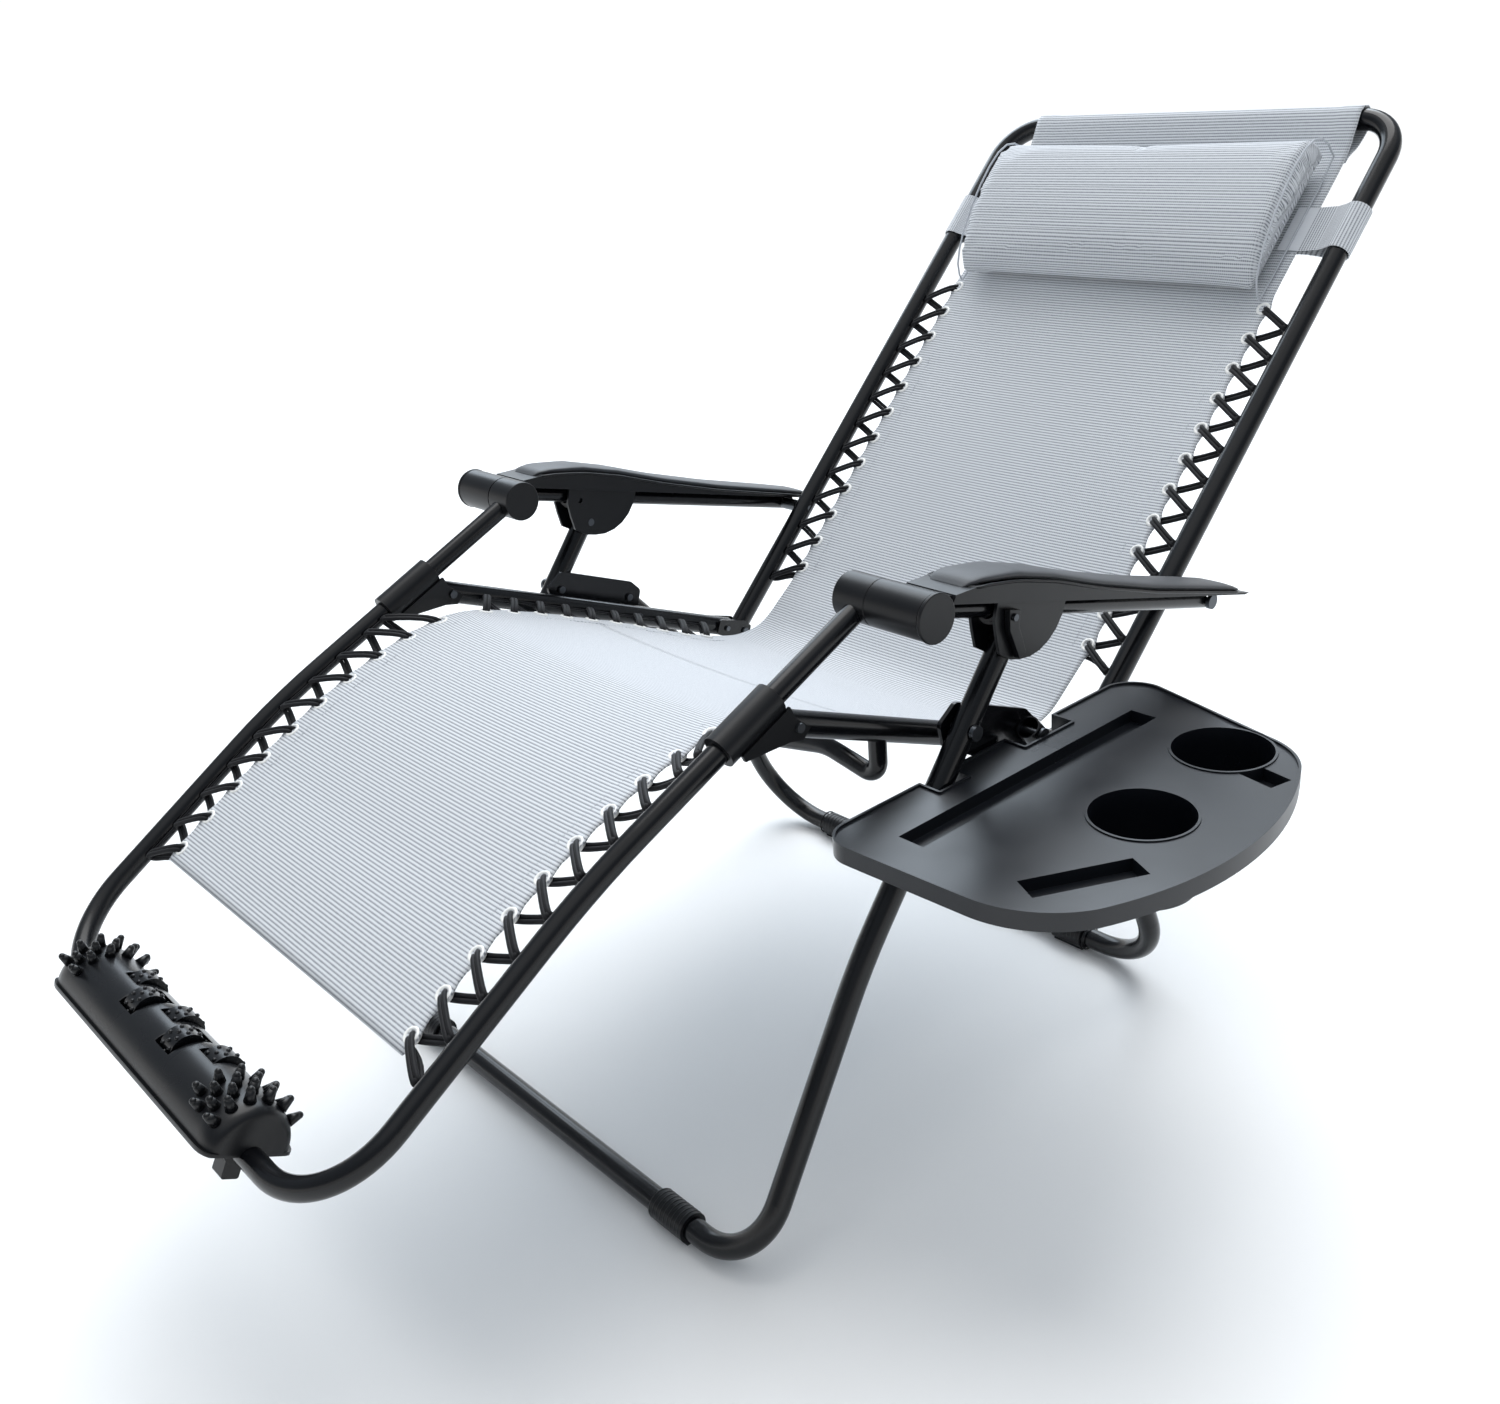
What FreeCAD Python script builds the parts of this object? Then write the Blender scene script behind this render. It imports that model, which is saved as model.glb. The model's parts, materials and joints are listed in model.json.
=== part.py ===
"""Zero gravity recliner: folding steel frame, laced mesh sling, side tray and foot massager.

The chair faces -Y, +X is the sitter's left and +Z is up.  Side-view places are given as
(x, forward, height): forward runs towards the feet and is turned into -Y by place().
"""
import FreeCAD, Part
import math
import os

Vector = FreeCAD.Vector
LATERAL = Vector(1, 0, 0)

doc = FreeCAD.newDocument("recliner")

# ---------------------------------------------------------------- driving dimensions (mm, degrees)
DIMENSIONS = {
    "centre_shift_x": 108.0,
    "centre_shift_y": 50.15,
    "leg_tube": 22.0,
    "back_tube": 22.0,
    "foot_tube": 19.0,
    "arm_tube": 16.0,
    "wall": 1.3,
    "bolt": 8.0,
    "running_gap": 0.08,
    "fixed_gap": 0.04,
    "side_gap": 0.4,
    "sling_half": 257.0,
    "leg_half": 300.8,
    "floor_half": 310.0,
    "floor_axis": 14.5,
    "hub_forward": 15.0,
    "hub_height": 410.0,
    "latch_forward": -37.0,
    "latch_height": 474.0,
    "front_knee_forward": 150.0,
    "front_knee_height": 243.0,
    "front_bar_forward": 300.0,
    "rear_pivot_forward": -75.0,
    "rear_pivot_height": 374.5,
    "rear_knee_forward": -208.0,
    "rear_knee_height": 224.0,
    "rear_bar_forward": -293.0,
    "seat_pivot_forward": -60.0,
    "seat_pivot_height": 363.5,
    "foot_hinge_forward": 172.0,
    "foot_hinge_height": 460.2,
    "back_hinge_forward": -208.9,
    "back_hinge_height": 300.8,
    "barrel_forward": 77.4,
    "barrel_height": 534.5,
    "foot_knee_forward": 371.7,
    "foot_knee_height": 402.7,
    "foot_bar_forward": 620.5,
    "foot_bar_height": 249.0,
    "foot_corner": 80.0,
    "back_slope": 135.74,
    "back_length": 742.5,
    "back_corner": 50.0,
    "arm_pin_from_hinge": 172.5,
    "plate": 3.0,
    "hub_plate": 4.0,
    "barrel_dia": 40.0,
    "barrel_inner": 237.0,
    "barrel_split": 272.0,
    "barrel_outer": 332.0,
    "arm_width": 52.0,
    "arm_length": 466.0,
    "grommet_half": 208.0,
    "grommet_dia": 15.0,
    "panel_half": 214.0,
    "panel_thick": 2.0,
    "cord": 4.5,
    "tray_top": 374.0,
    "tray_depth": 14.0,
    "tray_inner": 293.0,
    "cup_dia": 84.0,
    "cup_depth": 62.0,
    "massager_half": 162.0,
    "massager_centre": -10.0,
    "massager_dia": 68.0,
    "massager_turn": 62.0,
    "roller_dia": 30.0,
    "pillow_half": 205.0,
    "pillow_low": 508.0,
    "pillow_high": 692.0,
    "pillow_thick": 56.0,
}

sheet = doc.addObject("Spreadsheet::Sheet", "Dimensions")
for row, (alias, value) in enumerate(DIMENSIONS.items(), start=1):
    sheet.set(f"A{row}", alias)
    sheet.set(f"B{row}", str(value))
    sheet.setAlias(f"B{row}", alias)
doc.recompute()


def size(alias):
    """Value of one cell of the sheet."""
    return float(sheet.get(alias))


def place(x, forward, height):
    """Point in the row frame for a lateral offset, a forward distance and a height."""
    return Vector(x - size("centre_shift_x"), -forward - size("centre_shift_y"), height)


def station(name):
    """Forward distance and height of a named hinge or knee in the side view."""
    return size(name + "_forward"), size(name + "_height")


def along(start, angle, distance, offset=0.0):
    """Side-view point at a distance along a direction and an offset to its upper side."""
    turn = math.radians(angle)
    forward = start[0] + distance * math.cos(turn) + offset * math.sin(turn)
    height = start[1] + distance * math.sin(turn) - offset * math.cos(turn)
    return forward, height


def heading(start, end):
    """Angle in degrees of the side-view line from one point to another."""
    return math.degrees(math.atan2(end[1] - start[1], end[0] - start[0]))


HUB = station("hub")
LATCH = station("latch")
REAR_PIVOT = station("rear_pivot")
SEAT_PIVOT = station("seat_pivot")
FOOT_HINGE = station("foot_hinge")
BACK_HINGE = station("back_hinge")
BARREL = station("barrel")
FOOT_KNEE = station("foot_knee")
FOOT_BAR = station("foot_bar")
BACK_SLOPE = size("back_slope")
BACK_TOP = along(BACK_HINGE, BACK_SLOPE, size("back_length"))
ARM_PIN = along(BACK_HINGE, BACK_SLOPE, size("arm_pin_from_hinge"))
RAIL_SLOPE = heading(BACK_HINGE, FOOT_HINGE)
ARM_SLOPE = heading(ARM_PIN, BARREL)
FOOT_UPPER_SLOPE = heading(BARREL, FOOT_KNEE)
FOOT_LOWER_SLOPE = heading(FOOT_KNEE, FOOT_BAR)
LEG_SLOPE = heading(LATCH, station("front_knee"))
SIDES = (("left", 1), ("right", -1))

parts = []


def keep(item, label):
    """Register a finished sub-part under the name of its node."""
    item.Label = label
    parts.append(item)
    return item


def feature(name, shape):
    """Part::Feature holding a shape that no parametric primitive makes."""
    item = doc.addObject("Part::Feature", name)
    item.Shape = shape
    return item


def joined(name, items):
    """One fused solid of several document objects."""
    item = doc.addObject("Part::MultiFuse", name)
    item.Shapes = items
    return item


def group(name, items):
    """Separate solids kept together as one node."""
    item = doc.addObject("Part::Compound", name)
    item.Links = items
    return item


def cut(name, base, tool):
    """Base minus tool."""
    item = doc.addObject("Part::Cut", name)
    item.Base = base
    item.Tool = tool
    return item


def cylinder(name, radius, length, centre, direction=LATERAL):
    """Part::Cylinder with bound radius and length, centred on a point along a direction."""
    item = doc.addObject("Part::Cylinder", name)
    item.setExpression("Radius", radius)
    item.setExpression("Height", length)
    doc.recompute([item])
    axis = Vector(direction).normalize()
    turn = FreeCAD.Rotation(Vector(0, 0, 1), axis)
    start = centre - axis * (item.Height.Value / 2)
    item.Placement = FreeCAD.Placement(start, turn)
    return item


def bend_path(points, radii):
    """Wire of straight runs joined by tangent arcs of the given radii at its inner points."""
    edges = []
    previous = points[0]
    for index in range(1, len(points) - 1):
        corner = points[index]
        back = (points[index - 1] - corner).normalize()
        ahead = (points[index + 1] - corner).normalize()
        half_turn = (math.pi - back.getAngle(ahead)) / 2
        reach = radii[index - 1] * math.tan(half_turn)
        start = corner + back * reach
        end = corner + ahead * reach
        inward = (back + ahead).normalize()
        centre = corner + inward * (radii[index - 1] / math.cos(half_turn))
        middle = centre - inward * radii[index - 1]
        if (start - previous).Length > 0.01:
            edges.append(Part.LineSegment(previous, start).toShape())
        edges.append(Part.Arc(start, middle, end).toShape())
        previous = end
    edges.append(Part.LineSegment(previous, points[-1]).toShape())
    return Part.Wire(edges)


def tube(points, radii, diameter, wall=None):
    """Round tube, or a solid rod without a wall, swept along a bent path."""
    path = bend_path(points, radii)
    direction = points[1] - points[0]

    def rod(radius):
        """Solid rod of one radius along the path."""
        rim = Part.Wire(Part.Circle(points[0], direction, radius).toShape())
        return path.makePipeShell([rim], True, False)

    outer = rod(diameter / 2)
    if not wall:
        return outer
    return outer.cut(rod(diameter / 2 - wall))


def cross_hole(shape, centre, radius, length=60.0):
    """Shape with a lateral round hole through it."""
    start = centre - LATERAL * (length / 2)
    return shape.cut(Part.makeCylinder(radius, length, start, LATERAL))


def cross_pin(name, centre, inner, outer, head=0.0):
    """Lateral bolt between two distances from the middle plane on the centre's side."""
    item = cylinder(name, "Dimensions.bolt / 2", f"{outer - inner} mm", centre)
    if not head:
        return item
    cap = cylinder(name + "_head", "Dimensions.bolt * 0.85", f"{head} mm", centre)
    side = 1 if centre.x + size("centre_shift_x") > 0 else -1
    cap.Placement.Base = cap.Placement.Base + LATERAL * (side * ((outer - inner) / 2 + head / 2))
    return joined(name + "_headed", [item, cap])


def lateral_prism(name, outline, inner, outer, fillet=0.0, holes=()):
    """Body padded sideways from a side-view outline of (forward, height) points.

    The sketch lies on the body's YZ plane, the pad runs along +X between two lateral
    distances, and round holes are given as (centre, radius).
    """
    body = doc.addObject("PartDesign::Body", name)
    plane = next(f for f in body.Origin.OriginFeatures if f.Role == "YZ_Plane")
    sketch = body.newObject("Sketcher::SketchObject", name + "_sketch")
    sketch.AttachmentSupport = (plane, "")
    sketch.MapMode = "FlatFace"
    corners = [Vector(-forward, height, 0) for forward, height in outline]
    for start, end in zip(corners, corners[1:] + corners[:1]):
        sketch.addGeometry(Part.LineSegment(start, end))
    for (forward, height), radius in holes:
        sketch.addGeometry(Part.Circle(Vector(-forward, height, 0), Vector(0, 0, 1), radius))
    pad = body.newObject("PartDesign::Pad", name + "_pad")
    pad.Profile = sketch
    pad.Length = abs(outer - inner)
    body.Tip = pad
    doc.recompute([sketch, pad, body])
    if fillet:
        tip = body.newObject("PartDesign::Fillet", name + "_round")
        upright = [
            f"Edge{number}"
            for number, edge in enumerate(pad.Shape.Edges, start=1)
            if isinstance(edge.Curve, Part.Line) and abs(abs(edge.tangentAt(0).x) - 1) < 1e-6
        ]
        tip.Base = (pad, upright)
        tip.Radius = fillet
        body.Tip = tip
    low = min(inner, outer)
    body.Placement = FreeCAD.Placement(place(low, 0, 0), FreeCAD.Rotation())
    return body


# ---------------------------------------------------------------- bent tube frames
def front_leg_frame():
    """U-shaped front leg frame with its two top ends under the arm latches."""
    half = size("leg_half")
    low_half = size("floor_half")
    top = along(LATCH, LEG_SLOPE, -9.0)
    knee = station("front_knee")
    bar = (size("front_bar_forward"), size("floor_axis"))
    points = [
        place(half, *top), place(half, *knee), place(low_half, *bar),
        place(-low_half, *bar), place(-half, *knee), place(-half, *top),
    ]
    shape = tube(points, [700, 62, 62, 700], size("leg_tube"), size("wall"))
    hole = size("bolt") / 2 + size("running_gap")
    for side in (1, -1):
        shape = cross_hole(shape, place(side * half, *LATCH), hole)
        shape = cross_hole(shape, place(side * half, *HUB), size("bolt") / 2 + size("fixed_gap"))
    keep(feature("front_leg_tube", shape), "front_leg_frame")


def rear_leg_frame():
    """U-shaped rear leg frame that folds forward on its two top bolts."""
    half = size("leg_half")
    knee = station("rear_knee")
    top = along(REAR_PIVOT, heading(knee, REAR_PIVOT), 9.0)
    bar = (size("rear_bar_forward"), size("floor_axis"))
    points = [
        place(half, *top), place(half, *knee), place(half, *bar),
        place(-half, *bar), place(-half, *knee), place(-half, *top),
    ]
    shape = tube(points, [300, 80, 80, 300], size("leg_tube"), size("wall"))
    hole = size("bolt") / 2 + size("running_gap")
    for side in (1, -1):
        shape = cross_hole(shape, place(side * half, *REAR_PIVOT), hole)
    keep(feature("rear_leg_tube", shape), "rear_leg_frame")


def foot_frame():
    """Gently bent foot frame from the arm barrels down to the foot bar."""
    half = size("sling_half")
    corner = size("foot_corner")
    points = [
        place(half, *BARREL), place(half, *FOOT_KNEE), place(half, *FOOT_BAR),
        place(-half, *FOOT_BAR), place(-half, *FOOT_KNEE), place(-half, *BARREL),
    ]
    shape = tube(points, [800, corner, corner, 800], size("foot_tube"), size("wall"))
    clear = size("barrel_dia") / 2
    for side in (1, -1):
        start = place(side * half, *BARREL) - LATERAL * 30
        shape = shape.cut(Part.makeCylinder(clear, 60, start, LATERAL))
    keep(feature("foot_tube", shape), "foot_frame")


def back_frame():
    """Back frame: an upside-down U hinged at the rear of the seat rails."""
    half = size("sling_half")
    corner = size("back_corner")
    low = along(BACK_HINGE, BACK_SLOPE, -9.0)
    points = [
        place(half, *low), place(half, *BACK_TOP),
        place(-half, *BACK_TOP), place(-half, *low),
    ]
    shape = tube(points, [corner, corner], size("back_tube"), size("wall"))
    for side in (1, -1):
        hole = size("bolt") / 2 + size("running_gap")
        shape = cross_hole(shape, place(side * half, *BACK_HINGE), hole)
        shape = cross_hole(shape, place(side * half, *ARM_PIN), size("bolt") / 2 + size("fixed_gap"))
    keep(feature("back_tube", shape), "back_frame")


def seat_rails():
    """Straight seat rails between the foot hinge and the back hinge."""
    rear = along(BACK_HINGE, RAIL_SLOPE, 17.0)
    front = along(FOOT_HINGE, RAIL_SLOPE, 9.0)
    for name, side in SIDES:
        x = side * size("sling_half")
        shape = tube([place(x, *rear), place(x, *front)], [], size("leg_tube"), size("wall"))
        hole = size("bolt") / 2 + size("running_gap")
        shape = cross_hole(shape, place(x, *FOOT_HINGE), hole)
        shape = cross_hole(shape, place(x, *SEAT_PIVOT), hole)
        shape = cross_hole(shape, place(x, *along(BACK_HINGE, RAIL_SLOPE, 29.0)), 3.0 + size("fixed_gap"))
        keep(feature("rail_" + name, shape), "seat_rail_" + name)


def seat_crossbar():
    """Wavy spreader bar hung under the rails on two short drops."""
    half = size("sling_half")
    hang = along(BACK_HINGE, RAIL_SLOPE, 306.0, 0.0)
    low = hang[1] - 46
    forward = hang[0]
    points = [
        place(half, *hang), place(half, forward, low),
        place(half - 62, forward, low + 12), place(0, forward, low - 26),
        place(-half + 62, forward, low + 12), place(-half, forward, low),
        place(-half, *hang),
    ]
    shape = tube(points, [13, 60, 260, 60, 13], 16.0, size("wall"))
    for side in (1, -1):
        rail = [place(side * half, *along(hang, RAIL_SLOPE, reach)) for reach in (-40, 40)]
        shape = shape.cut(tube(rail, [], size("leg_tube") + 0.1))
    keep(feature("spreader_tube", shape), "seat_crossbar")


# ---------------------------------------------------------------- hub plates, bolts and hinges
def hub_plates():
    """Flat steel plates on the inner side of the front legs that carry the pivots."""
    leg_inner = size("leg_half") - size("leg_tube") / 2
    outline = [
        (HUB[0] - 4, HUB[1] + 20), (HUB[0] + 17, HUB[1] + 6), (HUB[0] + 12, HUB[1] - 16),
        (SEAT_PIVOT[0] + 12, SEAT_PIVOT[1] - 15), (REAR_PIVOT[0] - 8, SEAT_PIVOT[1] - 13),
        (REAR_PIVOT[0] - 18, REAR_PIVOT[1] + 4), (REAR_PIVOT[0] - 6, REAR_PIVOT[1] + 17),
    ]
    for name, side in SIDES:
        outer = side * (leg_inner - 0.3)
        inner = outer - side * size("hub_plate")
        body = lateral_prism(
            "hub_plate_" + name, outline, inner, outer, 6.0,
            [(point, size("bolt") / 2 + size("fixed_gap")) for point in (HUB, SEAT_PIVOT, REAR_PIVOT)],
        )
        keep(body, "hub_plate_" + name)


def pivot_bolts():
    """Bolts, spacers and nuts of the fixed pivots on the front leg frame."""
    leg_half = size("leg_half")
    rail_outer = size("sling_half") + size("leg_tube") / 2
    plate_inner = leg_half - size("leg_tube") / 2 - 0.3 - size("hub_plate")
    plate_outer = plate_inner + size("hub_plate")
    bolts, spacers = [], []
    for name, side in SIDES:
        for label, point, head in (("hub", HUB, 4.0), ("rear", REAR_PIVOT, 2.4)):
            outer = leg_half + size("leg_tube") / 2 + 0.3
            inner = plate_inner - 3
            centre = place(side * (inner + outer) / 2, *point)
            bolts.append(cross_pin(f"{label}_bolt_{name}", centre, inner, outer, head))
        length_inner = size("sling_half") - size("leg_tube") / 2 - 0.2
        centre = place(side * (length_inner + plate_outer) / 2, *SEAT_PIVOT)
        bolts.append(cross_pin(f"seat_bolt_{name}", centre, length_inner, plate_outer))
        centre = place(side * leg_half, *LATCH)
        bolts.append(cross_pin(f"latch_bolt_{name}", centre, leg_half - 14.6, leg_half + 14.6))
        gap = plate_inner - rail_outer - 2 * size("side_gap")
        centre = place(side * (plate_inner + rail_outer) / 2, *SEAT_PIVOT)
        ring = cylinder(f"spacer_ring_{name}", "8 mm", f"{gap} mm", centre)
        bore = cylinder(f"spacer_bore_{name}", "Dimensions.bolt / 2 + Dimensions.fixed_gap",
                        "60 mm", centre)
        spacers.append(cut(f"spacer_{name}", ring, bore))
    keep(group("pivot_bolt_set", bolts), "pivot_bolts")
    keep(group("spacer_set", spacers), "seat_pivot_spacers")


def back_hinges():
    """Hinge plates on the rail ends and the pins that the back frame turns on."""
    reach = size("leg_tube") / 2 + size("side_gap")
    inner_end = along(BACK_HINGE, RAIL_SLOPE, 42.0)
    outline = [
        along(BACK_HINGE, RAIL_SLOPE, -9, 7), along(BACK_HINGE, RAIL_SLOPE, -9, -7),
        along(BACK_HINGE, RAIL_SLOPE, 2, -12), along(inner_end, RAIL_SLOPE, 0, -9),
        along(inner_end, RAIL_SLOPE, 0, 9), along(BACK_HINGE, RAIL_SLOPE, 2, 12),
    ]
    rivet = along(BACK_HINGE, RAIL_SLOPE, 29.0)
    plates, pins = [], []
    for name, side in SIDES:
        for where, low in (("in", -reach - size("plate")), ("out", reach)):
            start = side * size("sling_half") + low
            fixed = size("fixed_gap")
            holes = [(BACK_HINGE, size("bolt") / 2 + fixed), (rivet, 3.0 + fixed)]
            plates.append(
                lateral_prism(f"back_plate_{name}_{where}", outline, start,
                              start + size("plate"), 3.0, holes))
        centre = place(side * size("sling_half"), *BACK_HINGE)
        pins.append(cylinder(f"back_pin_{name}", "Dimensions.bolt / 2", "34 mm", centre))
        centre = place(side * size("sling_half"), *rivet)
        pins.append(cylinder(f"back_rivet_{name}", "3 mm", "34 mm", centre))
    keep(group("back_plate_set", plates), "back_hinge_plates")
    keep(group("back_pin_set", pins), "back_hinge_pins")


def foot_brackets():
    """Moulded brackets: a sleeve on the foot tube with two ears on the rail end."""
    reach = size("leg_tube") / 2 + size("side_gap")
    sleeve_at = (213.8, 473.4)
    direction = Vector(0, -math.cos(math.radians(FOOT_UPPER_SLOPE)),
                       math.sin(math.radians(FOOT_UPPER_SLOPE)))
    outline = [
        along(sleeve_at, FOOT_UPPER_SLOPE, -34, 8), along(sleeve_at, FOOT_UPPER_SLOPE, -34, 20),
        (FOOT_HINGE[0] - 12, FOOT_HINGE[1] - 4), (FOOT_HINGE[0] - 4, FOOT_HINGE[1] - 12),
        (FOOT_HINGE[0] + 10, FOOT_HINGE[1] - 9), along(sleeve_at, FOOT_UPPER_SLOPE, 22, 14),
        along(sleeve_at, FOOT_UPPER_SLOPE, 22, 8),
    ]
    pins = []
    for name, side in SIDES:
        x = side * size("sling_half")
        centre = place(x, *sleeve_at)
        ears = []
        for where, low in (("in", -reach - size("plate")), ("out", reach)):
            ears.append(
                lateral_prism(f"foot_ear_{name}_{where}", outline, x + low,
                              x + low + size("plate"), 0.0, [(FOOT_HINGE, size("bolt") / 2 + size("fixed_gap"))]))
        sleeve = cylinder(f"foot_sleeve_{name}", "Dimensions.foot_tube / 2 + 5", "62 mm",
                          centre, direction)
        body = joined(f"foot_bracket_body_{name}", ears + [sleeve])
        bore = cylinder(f"foot_bore_{name}", "Dimensions.foot_tube / 2 + 0.06", "120 mm",
                        centre, direction)
        keep(cut(f"foot_bracket_cut_{name}", body, bore), "foot_bracket_" + name)
        centre = place(x, *FOOT_HINGE)
        pins.append(cylinder(f"foot_pin_{name}", "Dimensions.bolt / 2", "34 mm", centre))
    keep(group("foot_pin_set", pins), "foot_hinge_pins")


def floor_sleeves():
    """Ribbed plastic sleeves near both ends of each floor bar, with a flat foot."""
    for label, forward, x_middle, length in (
        ("front_floor_sleeves", size("front_bar_forward"), 208.0, 44.0),
        ("rear_floor_sleeves", size("rear_bar_forward"), 184.0, 38.0),
    ):
        solids = []
        for name, side in SIDES:
            centre = place(side * x_middle, forward, size("floor_axis"))
            ring = cylinder(f"{label}_{name}", "Dimensions.floor_axis", f"{length} mm", centre)
            bore = cylinder(f"{label}_bore_{name}", "Dimensions.leg_tube / 2 + 0.06", "90 mm", centre)
            shell = cut(f"{label}_shell_{name}", ring, bore)
            foot = doc.addObject("Part::Box", f"{label}_foot_{name}")
            foot.Length = length
            foot.Width = 16
            foot.Height = 3.4
            foot.Placement.Base = centre - Vector(length / 2, 8, size("floor_axis"))
            solids.append(joined(f"{label}_solid_{name}", [shell, foot]))
        keep(group(label + "_set", solids), label)


# ---------------------------------------------------------------- armrests and latches
def arm_point(distance, offset=0.0):
    """Side-view point measured rearwards from the barrel along the arm."""
    return along(BARREL, ARM_SLOPE, -distance, -offset)


def armrests():
    """Barrels, arm rails, arched arm shells and their soft pads."""
    caps, axles, barrels = [], [], []
    middle_x = size("leg_half")
    half_width = size("arm_width") / 2
    shell_outline = [
        arm_point(22, 9.5), arm_point(24, 17), arm_point(52, 24), arm_point(100, 27.5),
        arm_point(150, 26), arm_point(215, 19.5), arm_point(300, 14.5),
        arm_point(size("arm_length"), 11.5), arm_point(size("arm_length") - 8, 9.5),
    ]
    pad_outline = [
        arm_point(46, 23.3), arm_point(54, 29), arm_point(100, 35.5), arm_point(150, 33.5),
        arm_point(215, 27), arm_point(300, 22), arm_point(size("arm_length") - 14, 18),
        arm_point(size("arm_length") - 8, 12.4), arm_point(300, 15.3), arm_point(215, 20.3),
        arm_point(150, 26.8), arm_point(100, 28.3), arm_point(52, 24.8),
    ]
    channel_outline = [
        arm_point(46, 5), arm_point(46, 19.5), arm_point(100, 24), arm_point(150, 22.8),
        arm_point(215, 17), arm_point(255, 14), arm_point(255, 5),
    ]
    split = size("barrel_split")
    for name, side in SIDES:
        low, high = size("barrel_inner"), split
        centre = place(side * (low + high) / 2, *BARREL)
        barrels.append(cylinder(f"barrel_{name}", "Dimensions.barrel_dia / 2",
                                f"{high - low} mm", centre))
        centre = place(side * (split + size("barrel_outer") - 4) / 2, *BARREL)
        axles.append(cylinder(f"axle_{name}", "5 mm", f"{size('barrel_outer') - 4 - split} mm",
                              centre))
        centre = place(side * (size("barrel_outer") - 1.8), *BARREL)
        caps.append(cylinder(f"cap_{name}", "Dimensions.barrel_dia / 2 + 0.6", "3.6 mm", centre))

        hub_low = split + size("side_gap")
        hub_high = size("barrel_outer") - 4
        centre = place(side * (hub_low + hub_high) / 2, *BARREL)
        hub = cylinder(f"arm_hub_{name}", "Dimensions.barrel_dia / 2", f"{hub_high - hub_low} mm",
                       centre)
        shell = lateral_prism(f"arm_arch_{name}", shell_outline, side * (middle_x - half_width),
                              side * (middle_x + half_width))
        web = lateral_prism(
            f"arm_web_{name}",
            [arm_point(10, 9.5), arm_point(10, 16), arm_point(40, 16), arm_point(40, 9.5)],
            side * (middle_x - half_width + 4), side * (middle_x + half_width - 4))
        solid = joined(f"arm_solid_{name}", [hub, shell, web])
        bore = cylinder(f"arm_bore_{name}", "5 + Dimensions.running_gap", "80 mm", centre)
        seat = cylinder(f"arm_rail_seat_{name}", "Dimensions.arm_tube / 2 + 0.05", "60 mm",
                        place(side * middle_x, *arm_point(40)), arm_direction())
        channel = lateral_prism(
            f"arm_channel_{name}", channel_outline, side * (middle_x - half_width + 3.5),
            side * (middle_x + half_width - 3.5))
        tools = joined(f"arm_tools_{name}", [bore, seat, channel])
        keep(cut(f"arm_shell_cut_{name}", solid, tools), "arm_shell_" + name)
        pad = lateral_prism(f"arm_pad_body_{name}", pad_outline,
                            side * (middle_x - half_width + 3), side * (middle_x + half_width - 3))
        keep(pad, "arm_pad_" + name)
        points = [place(side * middle_x, *arm_point(17)), place(side * middle_x, *arm_point(441))]
        shape = tube(points, [], size("arm_tube"), size("wall"))
        shape = cross_hole(shape, place(side * middle_x, *ARM_PIN), size("bolt") / 2 + 1.6)
        keep(feature("arm_rail_tube_" + name, shape), "arm_rail_" + name)
    keep(group("barrel_set", barrels), "arm_barrels")
    keep(group("axle_set", axles), "arm_axles")
    keep(group("cap_set", caps), "barrel_caps")


def arm_direction():
    """Unit vector along the arm towards the rear, in the row frame."""
    turn = math.radians(ARM_SLOPE)
    return Vector(0, math.cos(turn), -math.sin(turn))


def arm_pins():
    """Bolts and spacers that hold the rear ends of the arms on the back frame."""
    solids = []
    tube_outer = size("sling_half") + size("back_tube") / 2
    rail_inner = size("leg_half") - size("arm_tube") / 2
    for name, side in SIDES:
        low = size("sling_half") - size("back_tube") / 2 - 0.1
        high = size("leg_half") + 13
        pin = cylinder(f"arm_pin_{name}", "Dimensions.bolt / 2", f"{high - low} mm",
                       place(side * (low + high) / 2, *ARM_PIN))
        low, high = tube_outer + 0.2, rail_inner - 0.6
        collar = cylinder(f"arm_collar_{name}", "7 mm", f"{high - low} mm",
                          place(side * (low + high) / 2, *ARM_PIN))
        head = cylinder(f"arm_pin_head_{name}", "7 mm", "4 mm",
                        place(side * (size("leg_half") + 11), *ARM_PIN))
        solids.append(joined(f"arm_pin_solid_{name}", [pin, collar, head]))
    keep(group("arm_pin_set", solids), "arm_pivot_bolts")


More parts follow.
